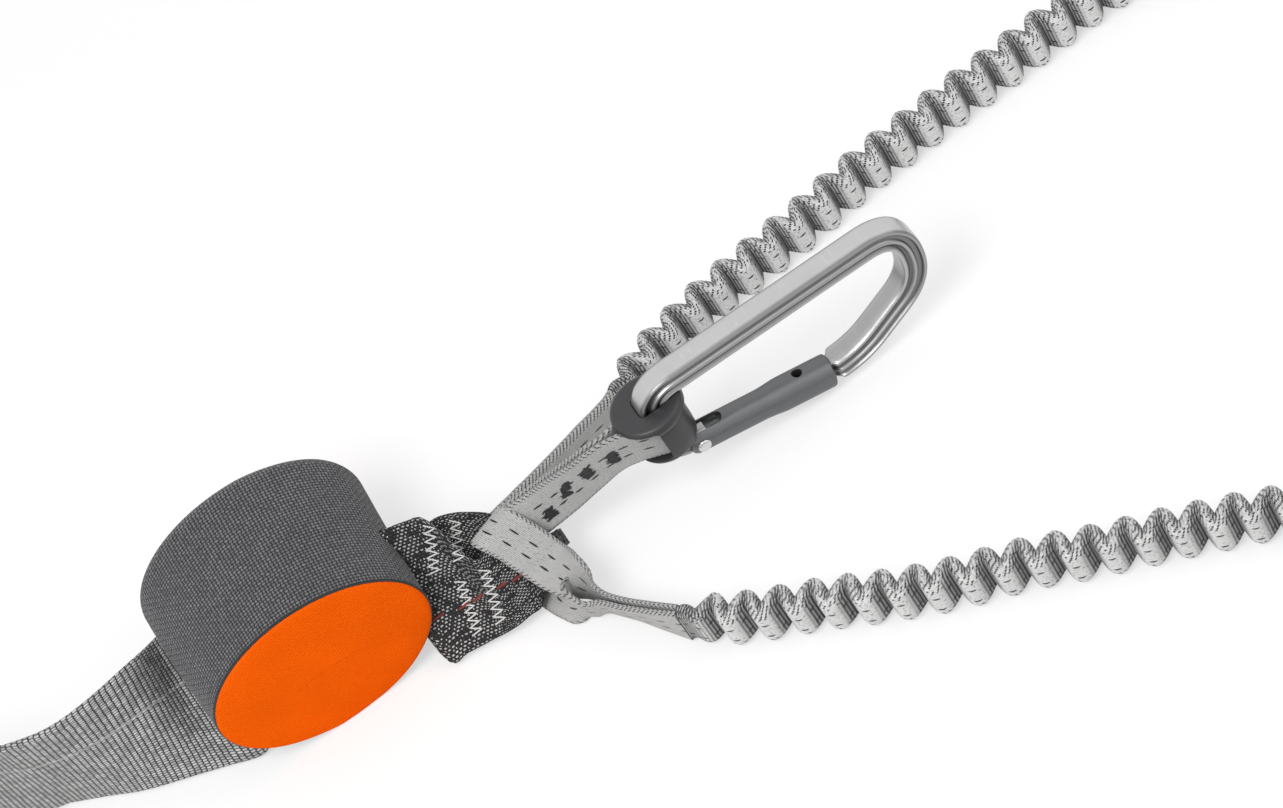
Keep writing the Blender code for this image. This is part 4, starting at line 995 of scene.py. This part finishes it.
hitchRows = {
    "far": (
        (0.0, 0.0, 0.5, 1.0, 0.0), (0.59, 0.19, 0.5, 1.0, 0.22), (1.2, 0.41, 0.5, 1.0, 0.45),
        (1.70, 0.62, 0.5, 1.0, 0.45), (2.05, 0.84, 0.53, 0.86, 0.45), (2.42, 1.04, 0.70, 0.50, 0.2),
    ),
    "over": (
        (0.74, 0.62, 1.0, 0.04), (0.47, 0.99, 1.0, 0.0), (0.2, 1.33, 1.0, 0.0),
        (-0.13, 1.71, 1.0, 0.0), (-0.40, 1.92, 0.82, 0.0), (-0.50, 2.00, 0.5, 0.0),
    ),
    "under": (
        (-0.40, 1.92, 0.18, 0.0), (-0.13, 1.71, 0.0, 0.0), (0.05, 1.33, 0.0, 0.0), (0.16, 0.99, 0.0, 0.0),
        (0.24, 0.68, 0.0, 0.0), (0.34, 0.26, -0.1, 0.0),
    ),
    "near": (
        (2.76, 1.04, 0.30, 0.50, 0.5), (2.46, 0.78, 0.48, 0.86, 0.5), (2.13, 0.62, 0.5, 0.96, 0.5),
        (1.76, 0.60, 0.5, 1.0, 0.5), (1.2, 0.41, 0.5, 1.0, 0.5), (0.59, 0.19, 0.5, 1.0, 0.25),
        (0.0, 0.0, 0.5, 1.0, 0.0),
    ),
}


def addHitchStrap():
    # up over the slab, round its far edge, back through the eye and along to the lower arm
    first, way, left = armFrame("lower")
    start = first - way * gap
    fold = (Vector((1, 0, 0)) + slabSide * 0.3).normalized()
    over = slab["rise"] + slab["thick"] / 2 + 3 * gap + strap["thick"] / 2
    under = slab["rise"] - slab["thick"] - strap["thick"] - 2 * gap
    stations = []

    def beside(rows, shift):
        for back, aside, height, turn, lean in rows:
            p = start - way * (strap["wide"] * back) + left * (strap["wide"] * aside + shift)
            stations.append((Vector((p.x, p.y, strap["wide"] * height + gap)),
                             fold * (1 - turn) + (up - Vector((0, lean, 0))) * turn))

    def across(rows):
        for along, wide, out, turn in rows:
            lift = under + (over - under) * out
            p = onSlab(strap["hitch"] + strap["wide"] / 2 * along, strap["wide"] * wide, lift)
            stations.append((p, fold * (1 - turn) + up * turn))

    beside(hitchRows["far"], plyOffset)
    across(hitchRows["over"])
    across(hitchRows["under"])
    beside(hitchRows["near"], -plyOffset)
    centres = smoothPath([s[0] for s in stations], strap["steps"])
    sides = [s.normalized() for s in smoothPath([s[1].normalized() for s in stations], strap["steps"])]
    rings = ripple(onGround(stripRings(centres, sides, strapSection)), 4 * mm, 0.10 * mm, 1.7)
    piece = skin("hitchStrap", rings, paints["strap"], strapRound)
    return stand(piece, "lanyard", "lower_arm_strap")


def addUpperStrap():
    first, way = armFrame("upper")[:2]
    end = first - way * gap
    level = strap["wide"] / 2 + gap
    startX, behind = strap["hitch"] - strap["wide"] * 0.2, -slab["side"] + slab["width"] * 0.67
    shares = ((0.0, 0.0), (0.13, 0.12), (0.36, 0.31), (0.58, 0.52), (0.76, 0.70))
    span = Vector((end.x - startX, end.y - behind))
    centres = [Vector((startX + span.x * a, behind + span.y * b, level)) for a, b in shares]
    nearly = end - way * strap["wide"] * 0.3
    centres += [Vector((nearly.x, nearly.y, level)), Vector((end.x, end.y, level))]
    centres = smoothPath(centres, 8)
    section = flatSection(strap["wide"] / 2, 2 * strap["thick"])
    around = aroundOf(section)
    rings = ripple(stripRings(centres, [up] * len(centres), section), 4 * mm, 0.15 * mm, 9.1)
    paint = webbingPaint("upperStrapWebbing", around[-1] / mm, edgeReach=2.6)
    return stand(skin("upperArmStrap", rings, paint, around), "lanyard", "upper_arm_strap")


def loopedStrap(name, stations, turnMiddle, outward, radius, openings, steps):
    # two plies side by side, joined by a turn round a bar
    middles = smoothPath([s[0] for s in stations], steps)
    widths = [w.normalized() for w in smoothPath([s[1] for s in stations], steps)]
    spread = smoothNumbers(openings, steps)
    heads = headings(middles)
    normals = [w.cross(h).normalized() for w, h in zip(widths, heads)]
    first = [m + n * plyOffset * o for m, n, o in zip(middles, normals, spread)]
    second = [m - n * plyOffset * o for m, n, o in zip(middles, normals, spread)]
    turn = []
    for k in range(19):
        a = math.radians(90 - 10 * k)
        turn.append(turnMiddle + outward * radius * math.cos(a) + normals[-1] * radius * math.sin(a))
    path = first + turn + list(reversed(second)) + [middles[0] - heads[0] * plyOffset]
    sides = widths + [widths[-1]] * len(turn) + list(reversed(widths)) + [widths[0]]
    rings = ripple(stripRings(path, sides, strapSection, True), 4 * mm, 0.08 * mm, 3.3)
    return skin(name, rings, paints["strap"], strapRound, closed=True)


carabiner = {
    "length": 95.0 * mm, "rise": 29.8 * mm, "halfDepth": 4.1 * mm, "halfThick": 4.2 * mm,
    "gateRadius": 4.5 * mm, "noseRadius": 5.5 * mm, "drop": math.radians(11.8), "gateShare": 0.455,
    "drain": 0.38,
    "tube": 4.8 * mm, "flared": 5.4 * mm, "longer": 1.8 * mm, "tipLong": 5.2 * mm, "tipRamp": 2.4 * mm,
    "corners": ((0.0, 0.04), (0.0, 1.0), (0.962, 0.95), (0.945, 0.17), (0.67, -0.27), (0.50, -0.285)),
    "radii": (0.19, 0.38, 0.41, 0.34, 0.24),
    "side": 31.5 * mm, "barX": 122.2 * mm, "pivotHeight": 15.0 * mm,
}
connector = {
    "length": 113.0 * mm, "rise": 48.0 * mm, "halfDepth": 5.2 * mm, "halfThick": 5.0 * mm,
    "gateRadius": 5.2 * mm, "noseRadius": 6.2 * mm, "drop": math.radians(7), "gateShare": 0.52, "drain": 0,
    "tube": 5.2 * mm, "flared": 6.2 * mm, "longer": 0, "tipLong": 8.0 * mm, "tipRamp": 4.2 * mm,
    "corners": ((0.0, 0.04), (0.0, 0.80), (0.16, 1.0), (0.94, 1.0), (1.0, 0.25), (0.80, -0.12),
                (0.60, -0.15)),
    "radii": (0.22, 0.16, 0.14, 0.36, 0.30, 0.16),
    "height": 10.8 * mm, "terminal": 50.0 * mm,
}
keeperHeight = carabiner["pivotHeight"] + carabiner["rise"] * 0.55
barBend = carabiner["halfDepth"] * 0.1
loopRadius = carabiner["halfThick"] * 1.45 + gap + strap["thick"] / 2


def addShortStrap():
    middle = Vector((carabiner["barX"] + barBend, -carabiner["side"], keeperHeight))
    start = onSlab(strap["hitch"] + strap["wide"] * 0.31, strap["wide"] * 1.66,
                   slab["rise"] - 0.4 * slab["thick"])
    span = middle - start
    shares = ((0.0, 0.0, 0.0, 0.5), (0.235, 0.12, 0.15, 0.3), (0.444, 0.52, 0.55, 0.08),
              (0.609, 0.85, 0.88, 0.0), (0.712, 1.0, 1.0, 0.0), (0.826, 1.0, 1.0, 0.0))
    stations = [(start + Vector((span.x * a, span.y * b, span.z * c)), up + Vector((0, lean, 0)))
                for a, b, c, lean in shares]
    opening = (1.3, 1.15, 1.1, 1.0, 1.2, 2.6)
    piece = loopedStrap("shortArmStrap", stations, middle, Vector((1, 0, 0)), loopRadius, opening, 9)
    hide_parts("short_arm_strap")
    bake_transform(piece)
    return piece


hitchPiece = addHitchStrap()
addUpperStrap()
shortStrapPiece = addShortStrap()
print("straps made")


# connectors: u runs from the strap's bar to the far end, v from gate to spine, so a point is (u, w, v)

hardware = {
    "tang": 2.1 * mm, "rivet": 1.25 * mm, "play": 0.05 * mm, "rivetHead": 2.2 * mm, "headHigh": 0.6 * mm,
    "clear": 4 * mm, "bore": 2.1 * mm, "boreLong": 11.6 * mm, "rubber": 1.8 * mm,
    "mouthBevel": 1.6 * mm, "stations": 210,
}


def roundedPath(corners, radii, steps):
    points = [Vector(corners[0])]
    for a, b, c, r in zip(corners, corners[1:], corners[2:], radii):
        b = Vector(b)
        first, second = b + (Vector(a) - b).normalized() * r, b + (Vector(c) - b).normalized() * r
        for k in range(steps + 1):
            t = k / steps
            points.append(first * (1 - t) ** 2 + b * 2 * t * (1 - t) + second * t ** 2)
    return points + [Vector(corners[-1])]


# half a section from gate side to spine side: across, through, and painted shade (dark in each groove and on
# the side faces, none on the outer face)
grooved = (
    (1, 0, 0), (1, -0.60, 0), (0.985, -0.72, 0.1), (0.93, -0.90, 0.75), (0.84, -0.985, 0.55),
    (0.74, -1, 0.40), (0.66, -0.97, 0.45), (0.56, -0.80, 0.85), (0.36, -0.76, 0.70), (0.20, -0.80, 0.78),
    (0.10, -0.96, 0.45),
    (0, -1, 0.35), (-0.12, -1, 0.42), (-0.24, -0.86, 0.85), (-0.44, -0.78, 0.80), (-0.56, -0.90, 0.60),
    (-0.70, -0.97, 0.22), (-0.86, -0.92, 0.15), (-0.96, -0.70, 0.2), (-1, -0.35, 0.35),
)
plain = (
    (1, 0, 0), (1, -0.5, 0), (0.93, -0.84, 0.1), (0.6, -1, 0.42), (0, -1, 0.42), (-0.6, -1, 0.42),
    (-0.93, -0.84, 0.42), (-1, -0.5, 0.42),
)


def sweptRings(size, half, grow=0.0):
    corners = [(u * size["length"], 0, v * size["rise"]) for u, v in size["corners"]]
    pivot = size["halfDepth"] * 2
    corners.insert(0, (pivot + size["gateRadius"] * 0.6, 0, 0))
    path = evenly(roundedPath(corners, [r * size["rise"] for r in size["radii"]], 24), hardware["stations"])
    total = lengthOf(path)
    loop = list(half) + [(-1, 0, half[-1][2])] + [(x, -y, shade) for x, y, shade in reversed(half)]
    fine = []
    for first, second in zip(loop, loop[1:]):
        fine += [Vector(first), (Vector(first) + Vector(second)) / 2]
    thin = hardware["tang"] / size["halfThick"]
    rings, done = [], 0.0
    for i, (p, h) in enumerate(zip(path, headings(path))):
        done += (p - path[i - 1]).length if i else 0
        outward = Vector((-h.z, 0, h.x))
        tang = min(max((done - size["gateRadius"] * 2.1) / (size["gateRadius"] * 0.8), 0), 1)
        nose = min(max((total - done - size["tipLong"]) / size["tipRamp"], 0), 1)
        full = min(tang, nose)
        full = full * full * (3 - 2 * full)
        depth = size["halfDepth"] * (1 - 0.16 * (1 - full)) + grow
        thick = size["halfThick"] * (thin + (1 - thin) * full) + grow
        rings.append([p + outward * depth * a + Vector((0, thick * b, 0)) for a, b, shade in fine])
    return rings, [[shade for a, b, shade in fine]] * len(rings)


def placed(bm, matrix):
    bmesh.ops.transform(bm, matrix=matrix, verts=bm.verts)
    return bm


def localFrame(size, place):
    drop = size["drop"]
    axis = Vector((math.cos(drop), 0, -math.sin(drop)))
    normal = Vector((-axis.z, 0, axis.x))
    basis = Matrix((axis, Vector((0, 1, 0)), normal)).transposed().to_4x4()
    return place @ Matrix.Translation((size["halfDepth"] * 2, 0, 0)) @ basis


def pinTool(matrix, reach):
    turn = Matrix.Rotation(math.pi / 2, 4, "X")
    return drum(hardware["rivet"] + hardware["play"], 2 * reach, 24, matrix @ turn)


gateTail = ((-1, 0), (-1, 0.55), (-0.94, 0.72), (-0.8, 0.88), (-0.5, 0.985), (-0.2, 1))
gateFlare = ((0.3, 0), (0.50, 0), (0.55, 0.25), (0.60, 0.65), (0.64, 0.92), (0.68, 1))


def addGate(name, size, place, body, node):
    # a turned tube with a fork for the body's tang, a notch for its nose and a bore for its spring
    local = localFrame(size, place)
    r, tube, nose, clear = size["gateRadius"], size["tube"], size["flared"], hardware["clear"]
    length = size["length"] * size["gateShare"]
    tail, far, wider = r * 0.85, length + size["longer"], nose - tube
    profile = [(tail * a, tube * b) for a, b in gateTail]
    profile += [(length * a, tube + wider * b) for a, b in gateFlare]
    profile += [(far - 1.2 * mm, nose), (far - 0.35 * mm, nose * 0.975), (far, nose * 0.90), (far, 0)]
    gate = finishMesh(name, placed(turned(profile, (0, 0, 0), (1, 0, 0), 64), local), paints["anodised"])
    slot, end = hardware["tang"] + gap, r * 1.9
    fork = boxed((-tail - clear, -slot, -r - clear), (end - slot, slot, r + clear))
    root = drum(slot * 0.999, 2 * r + 7 * mm, 32, Matrix.Translation((end - slot, 0, 0)))
    start = length - size["noseRadius"] - 3 * gap
    notch = boxed((start, -slot, -nose - clear), (far + clear, slot, size["halfDepth"] * 0.84 + 3 * gap))
    wide, deep = hardware["bore"], hardware["boreLong"]
    bore = turned([(0, 0), (0, wide), (deep, wide), (deep, 0)], (end - gap, 0, 0), (1, 0, 0), 24)
    tools = [placed(tool, local) for tool in (fork, root, notch, bore)] + [pinTool(local, r + clear)]
    if size["drain"]:
        high = nose + clear
        hole = drum(r * size["drain"], high, 28, Matrix.Translation((length * 0.80, 0, high / 2)))
        tools.append(placed(hole, local))
    carve(gate, tools)
    soften(gate, 0.22 * mm)
    return stand(gate, body, node), local


def addRivet(name, local, low, high, body, node):
    # a headed pin across the connector, along the frame's own second axis
    low, high = low + gap / 2, high + gap / 2
    head, pin, lift = hardware["rivetHead"], hardware["rivet"], hardware["headHigh"]
    crown = ((0, 1), (0.4, 0.93), (0.85, 0.72), (1, 0.45), (1, 0))
    profile = [(-low - lift * a, head * b) for a, b in reversed(crown)] + [(-low, pin), (high, pin)]
    profile += [(high + lift * a, head * b) for a, b in crown]
    pinned = placed(turned(profile, (0, 0, 0), (0, 1, 0), 28), local)
    return stand(finishMesh(name, pinned, paints["steel"]), body, node)


def addBody(name, size, half, place, body, node, extra=()):
    rings, shades = sweptRings(size, half)
    # the section's painted shade goes on each point as the fold attribute
    piece = skin(name, rings, paints["bright"], extra=shades, sharp=32)
    piece.data.transform(place)
    carve(piece, [pinTool(localFrame(size, place), size["halfThick"] * 2), *extra])
    return stand(piece, body, node)


keeperRows = (
    (-1.0, 0.30, 0.26), (-1.0, 0.70, 0.66), (-0.985, 0.76, 0.73), (-0.93, 0.81, 0.78), (-0.84, 0.845, 0.81),
    (-0.45, 0.86, 0.83), (0.0, 0.865, 0.84), (0.32, 0.87, 0.85), (0.44, 0.865, 0.845), (0.49, 0.86, 0.84),
    (0.53, 0.875, 0.86), (0.57, 0.94, 0.93), (0.63, 0.985, 0.98), (0.74, 1.0, 1.0), (0.86, 0.995, 0.995),
    (0.94, 0.97, 0.97), (0.985, 0.92, 0.92), (1.0, 0.86, 0.86), (0.985, 0.75, 0.75), (0.975, 0.40, 0.40),
)


def addKeeper(name, middle, size, rubber, radius, place, body, node):
    # a rubber cup with a rolled flange: the strap's loop sits in it and the bar passes through
    pocket = strap["wide"] / 2 + gap
    high = pocket + hardware["rubber"]
    local = place @ Matrix.Translation(middle)
    rings = []
    for share, a, b in keeperRows:
        rings.append([Vector((rubber[0] * a * math.cos(t), rubber[1] * b * math.sin(t), high * share))
                      for t in circle(72)])
    keeper = skin(name, rings, paints["rubber"], sharp=60)
    keeper.data.transform(local)
    inner = radius + strap["thick"] / 2 + gap
    cup = placed(drum(inner, 2 * pocket, 48), local)
    side, reach = -rubber[0] - hardware["clear"], rubber[1] + hardware["clear"]
    mouth = boxed((side, -reach, -pocket + gap / 3), (-inner * 0.2, reach, pocket - gap / 3))

    def crosswise(edge):
        first, second = edge.verts[0].co, edge.verts[1].co
        return abs(first.x - second.x) < 1e-6 < abs(first.y - second.y) and first.x > -inner

    edges = [e for e in mouth.edges if crosswise(e)]
    bmesh.ops.bevel(mouth, geom=edges, offset=hardware["mouthBevel"], offset_type="OFFSET", affect="EDGES",
                    segments=5, profile=0.5, material=-1)
    placed(mouth, local)
    rings = [r for r in sweptRings(size, plain, 0.35 * mm)[0]
             if abs(middleOf(r).z - middle.z) < high + 4 * mm and middleOf(r).x < size["length"] / 4]
    hole = skin("hole", rings, paints["rubber"])
    hole.data.transform(place)
    carve(keeper, [cup, mouth, asTool(hole)])
    soften(keeper, 0.35 * mm, 3)
    return stand(keeper, body, node)


def addCarabiner():
    place = Matrix.Translation((carabiner["barX"], -carabiner["side"], carabiner["pivotHeight"]))
    addBody("carabinerBody", carabiner, grooved, place, "small_carabiner", "carabiner_body")
    local = addGate("carabinerGate", carabiner, place, "small_gate", "carabiner_gate")[1]
    r = carabiner["gateRadius"]
    addRivet("carabinerGateRivet", local, r, r, "small_carabiner", "carabiner_gate_rivet")
    addKeeper("shortArmKeeper", Vector((barBend, 0, keeperHeight - carabiner["pivotHeight"])), carabiner,
              (11.6 * mm, 11.6 * mm), loopRadius, place, "small_carabiner", "short_arm_keeper")


addCarabiner()
print("small carabiner made")


lever = {
    "long": 52 * mm, "thick": 3.6 * mm, "half": 6.2 * mm, "lug": 1.6 * mm, "travel": 4.4 * mm, "turns": 3,
    "wire": 0.3 * mm,
    "shape": ((-0.10, 0.0, 0.55), (0.0, 0.0, 1.0), (0.30, 0.36, 1.0), (0.65, 0.80, 1.0), (0.92, 1.0, 0.95),
              (1.0, 1.0, 0.45)),
    "section": ((0.0, 0.0), (0.5, 0.0), (0.92, 0.0), (1.0, 0.12), (1.0, 0.5), (0.97, 0.72), (0.88, 0.9),
                (0.72, 1.0), (0.3, 1.0)),
}


def addLever(prefix, place, body, node):
    # a palm lever with a ribbed grip, on a pin beside the spine
    local = place @ Matrix.Translation((connector["length"] * 0.34, 0, connector["rise"]))
    low = connector["halfDepth"] + gap * 2
    end = lever["long"] - lever["lug"]
    section = list(lever["section"]) + [(-a, b) for a, b in reversed(lever["section"][1:])]
    rings = []
    for p in smoothPath(lever["shape"], 10):
        bottom, thick = low + lever["travel"] * min(max(p.y, 0), 1), lever["thick"] * p.z
        ridge = 0.10 * (0.5 + 0.5 * math.cos(p.x * 95)) * (0.42 < p.x < 0.94)
        ring = []
        for a, b in section:
            high = bottom + thick * b * (1 - ridge * (abs(a) < 0.8))
            ring.append(Vector((end * p.x, lever["half"] * a, high)))
        rings.append(ring)
    piece = skin(prefix + "Lever", rings, paints["anodised"], sharp=40)
    inner = connector["halfThick"] + gap
    for side in (-1, 1):
        first, last = sorted((side * inner, side * (inner + lever["lug"])))
        radius = hardware["rivet"] * 2.4
        turn = Matrix.Translation((0, (first + last) / 2, 0)) @ Matrix.Rotation(math.pi / 2, 4, "X")
        carve(piece, [drum(radius, last - first, 32, turn)], "UNION")
        carve(piece, [boxed((-radius, first, 0), (radius, last, low + lever["thick"] * 0.5))], "UNION")
    piece.data.transform(local)
    span = inner + lever["lug"]
    reach = span + hardware["clear"]
    carve(piece, [pinTool(local, reach)])
    soften(piece, 0.2 * mm)
    room = (2 * lever["turns"] + 2) * lever["wire"] + 2 * gap + lever["turns"] * gap * 1.5
    rivetNode = prefix + "_connector_lever_rivet"
    addRivet(prefix + "LeverRivet", local, span, span + room, prefix + "_end", rivetNode)
    return stand(piece, body, node), pinTool(local, reach)


def addArmEnd(which):
    last, before = route(which)[-1], route(which)[-2]
    way = (last - before).normalized()
    aside = way.cross(up)
    start = last + way * (gap + plyOffset + strap["thick"] / 2)
    bar = last + way * connector["terminal"]
    bar.z = connector["height"]
    middle = connector["rise"] * 0.42
    place = Matrix.Translation(bar - aside * middle) @ Matrix((way, up, aside)).transposed().to_4x4()
    radius = connector["halfThick"] * 1.3 + gap + strap["thick"] / 2
    stations = []
    for along, turn in ((0.0, 0.0), (0.2, 0.12), (0.40, 0.5), (0.58, 0.9), (0.78, 1.0)):
        a = turn * math.pi / 2
        stations.append((start + (bar - start) * along, up * math.cos(a) + aside * math.sin(a)))
    terminal = loopedStrap(which + "TerminalStrap", stations, bar, way, radius, (1.0, 1.5, 1.9, 1.6, 2.2), 9)
    end, node = which + "_end", which + "_connector_"
    keeper = addKeeper(which + "Keeper", Vector((0, 0, middle)), connector, (13.5 * mm, 11.4 * mm), radius,
                       place, end, which + "_keeper")
    leverPiece, leverHole = addLever(which, place, which + "_lever", node + "lever")
    body = addBody(which + "ConnectorBody", connector, plain, place, end, node + "body", [leverHole])
    gate, local = addGate(which + "ConnectorGate", connector, place, which + "_gate", node + "gate")
    r = connector["gateRadius"]
    rivet = addRivet(which + "GateRivet", local, r, r, end, node + "gate_rivet")
    return terminal, [s[0] for s in stations[1:]] + [bar], [keeper, body, gate, leverPiece, rivet]


def joined(piece, other):
    with bpy.context.temp_override(active_object=piece, selected_editable_objects=[piece, other]):
        bpy.ops.object.join()
    return piece


for which, (piece, line) in armPieces.items():
    terminal, onward, endPieces = addArmEnd(which)
    joined(piece, terminal)
    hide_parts(which + "_arm_elastic", which + "_terminal_strap")
    which + "_end"
    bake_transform(piece)
    path = line[::2] + [line[-1]] + onward
    lengthOf(path)
    print(which, "arm made, mm:", round(lengthOf(path) / mm))


# kept solids get a finish

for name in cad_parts:
    holder = bpy.data.objects.get(name)
    if holder and any(word in name for word in ("spring", "plunger", "rivet")):
        if not holder.material_slots:
            holder.data.materials.append(paints["steel"])
        for place in holder.material_slots:
            place.material = paints["steel"]


# sewing

sewing = {
    "before": 60 * mm, "thread": 0.23 * mm, "flat": 0.7, "lift": 0.08 * mm, "wide": 3.5 * mm,
    "pitch": 2.35 * mm, "redLong": 3.6 * mm, "redThread": 0.42 * mm, "patchWide": 3.6 * mm,
    "patchPitch": 0.62 * mm, "patchHalf": 2.3 * mm, "patchThread": 0.34 * mm, "ragged": 1.3 * mm,
    "tacks": (((48.9, 40.1), (41.9, 27.1)), ((56.2, 36.9), (50.2, 26.1)),
              ((47.1, 21.3), (42.3, 4.9)), ((55.0, 19.9), (49.9, 3.7))),
    "red": ((35.8, 16.0), (43.7, 14.2), (48.5, 13.8), (56.6, 12.8), (61.5, 12.0)),
    "patches": ((81.0, -26.3, 18.8), (88.8, -27.8, 25.2), (96.9, -30.8, 29.4), (106.0, -33.7, 31.9)),
}
sight = Vector((0, math.cos(math.radians(view["elevation"])), -math.sin(math.radians(view["elevation"]))))
eyePoint = Vector(view["target"]) - sight * view["distance"]


def treeOf(*pieces):
    verts, faces = [], []
    for piece in pieces:
        first = len(verts)
        verts += [v.co.copy() for v in piece.data.vertices]
        faces += [[first + k for k in f.vertices] for f in piece.data.polygons]
    return BVHTree.FromPolygons(verts, faces)


def settled(tree, point):
    # where the sight line through a point meets the surface, and the way out of it
    way = (point - eyePoint).normalized()
    hit, normal = tree.ray_cast(point - way * sewing["before"], way)[:2]
    if hit is None:
        return None
    return hit, -normal if normal.dot(way) > 0 else normal


def addThread(name, tree, points, paint, body, radius=None):
    radius = radius or sewing["thread"]
    spots = [spot for spot in (settled(tree, p) for p in points) if spot]
    centres = [hit + normal * sewing["lift"] for hit, normal in spots]
    rings = []
    for c, h, (hit, normal) in zip(centres, headings(centres), spots):
        side = normal.cross(h).normalized()
        out = h.cross(side).normalized()
        rings.append([c + side * radius * math.cos(a) + out * radius * sewing["flat"] * math.sin(a)
                      for a in circle(6)])
    thread = skin(name, rings, paint)
    return stand(thread, body) if body else thread


def tackPoints(start, end, wide, pitch, normal):
    # a close zigzag from start to end
    way = end - start
    side = way.cross(normal).normalized() * wide / 2
    legs = max(round(way.length / pitch), 2) * 2
    corners = [start + way * k / legs + side * (-1 if k % 2 else 1) for k in range(legs + 1)]
    points = []
    for a, b in zip(corners, corners[1:]):
        points += [a.lerp(b, k / 6) for k in range(6)]
    return points + [corners[-1]]


def addSewing():
    slabTree = treeOf(absorberPiece, hitchPiece)
    for k, ends in enumerate(sewing["tacks"]):
        start, end = [onSlab(x * mm, across * mm, slab["rise"]) for x, across in ends]
        points = tackPoints(start, end, sewing["wide"], sewing["pitch"], slabOut)
        addThread("whiteTack%d" % (k + 1), slabTree, points, paints["white"], "lanyard")
    for k, (x, across) in enumerate(sewing["red"]):
        middle = onSlab(x * mm, across * mm, slab["rise"])
        points = [middle + Vector(((j / 6 - 0.5) * sewing["redLong"], 0, 0)) for j in range(7)]
        addThread("redThread%d" % (k + 1), slabTree, points, paints["red"], "lanyard",
                  sewing["redThread"])
    armTree = treeOf(shortStrapPiece)
    for k, place in enumerate(sewing["patches"]):
        middle = Vector(place) * mm
        lean = Vector((0.25 * math.sin(k * 2.1), 0, 1)).normalized() * sewing["patchHalf"]
        points = tackPoints(middle - lean, middle + lean, sewing["patchWide"], sewing["patchPitch"],
                            Vector((0, -1, 0)))
        shift = Vector((9, 0, 0))
        points = [p + Vector((noise.noise(p / mm * 0.9), 0, noise.noise(p / mm * 0.7 + shift)))
                  * sewing["ragged"] for p in points]
        thread = addThread("blackPatch%d" % (k + 1), armTree, points, paints["blackThread"], None,
                           sewing["patchThread"])
        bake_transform(thread)


addSewing()
print("sewing made")


# floor and light

studio = {
    "floor": (0.93, 0.93, 0.93), "floorGlow": 0.55, "sky": 0.66, "key": 11.5,
    "keyPlace": (-0.45, -0.55, 1.25), "keySize": 0.7,
    "fill": 2.2, "fillPlace": (0.9, -0.3, 0.8), "fillSize": 0.9,
}


def seenRays(tree):
    # 1 on the rays that show the background: from the camera, off gloss and through glass
    path = tree.nodes.new("ShaderNodeLightPath")
    seen = path.outputs["Is Camera Ray"]
    for ray in ("Is Glossy Ray", "Is Transmission Ray"):
        most = tree.nodes.new("ShaderNodeMath")
        most.operation = "MAXIMUM"
        tree.links.new(seen, most.inputs[0])
        tree.links.new(path.outputs[ray], most.inputs[1])
        seen = most.outputs[0]
    return seen


def addFloor():
    bm = bmesh.new()
    bmesh.ops.create_grid(bm, x_segments=1, y_segments=1, size=4.0)
    bmesh.ops.translate(bm, vec=(0, 0, -gap), verts=bm.verts)
    paint = Paint("floorPaint", roughness=0.9, gloss=0.1)
    paint.shader.inputs["Base Color"].default_value = (*studio["floor"], 1)
    glow = paint.node("ShaderNodeEmission", None, {"Color": (1.0, 1.0, 1.0), "Strength": 1.0}, "Emission")
    mix = paint.tree.nodes.new("ShaderNodeMixShader")
    share = Wire(paint, seenRays(paint.tree)) * studio["floorGlow"]
    paint.tree.links.new(share.socket, mix.inputs[0])
    paint.tree.links.new(paint.shader.outputs[0], mix.inputs[1])
    paint.tree.links.new(glow.socket, mix.inputs[2])
    paint.tree.links.new(mix.outputs[0], paint.tree.nodes["Material Output"].inputs["Surface"])
    finishMesh("floor", bm, paint.material)


def addWorld():
    world = bpy.data.worlds.new("studio")
    bpy.context.scene.world = world
    world.use_nodes = True
    nodes, links = world.node_tree.nodes, world.node_tree.links
    level = nodes.new("ShaderNodeMapRange")
    links.new(seenRays(world.node_tree), level.inputs["Value"])
    level.inputs["To Min"].default_value, level.inputs["To Max"].default_value = studio["sky"], 1.0
    sky = nodes["Background"]
    sky.inputs["Color"].default_value = (1, 1, 1, 1)
    links.new(level.outputs[0], sky.inputs["Strength"])


def addLamp(name, power, place, size):
    lamp = bpy.data.lights.new(name, "AREA")
    lamp.energy, lamp.size = power, size
    holder = bpy.data.objects.new(name, lamp)
    place = Vector(place)
    holder.location = place
    holder.rotation_euler = (place - Vector(view["target"])).to_track_quat("Z", "Y").to_euler()
    bpy.context.scene.collection.objects.link(holder)


addFloor()
addWorld()
addLamp("keyLight", studio["key"], studio["keyPlace"], studio["keySize"])
addLamp("fillLight", studio["fill"], studio["fillPlace"], studio["fillSize"])
bpy.context.scene.view_settings.view_transform = "Standard"
print("studio made")
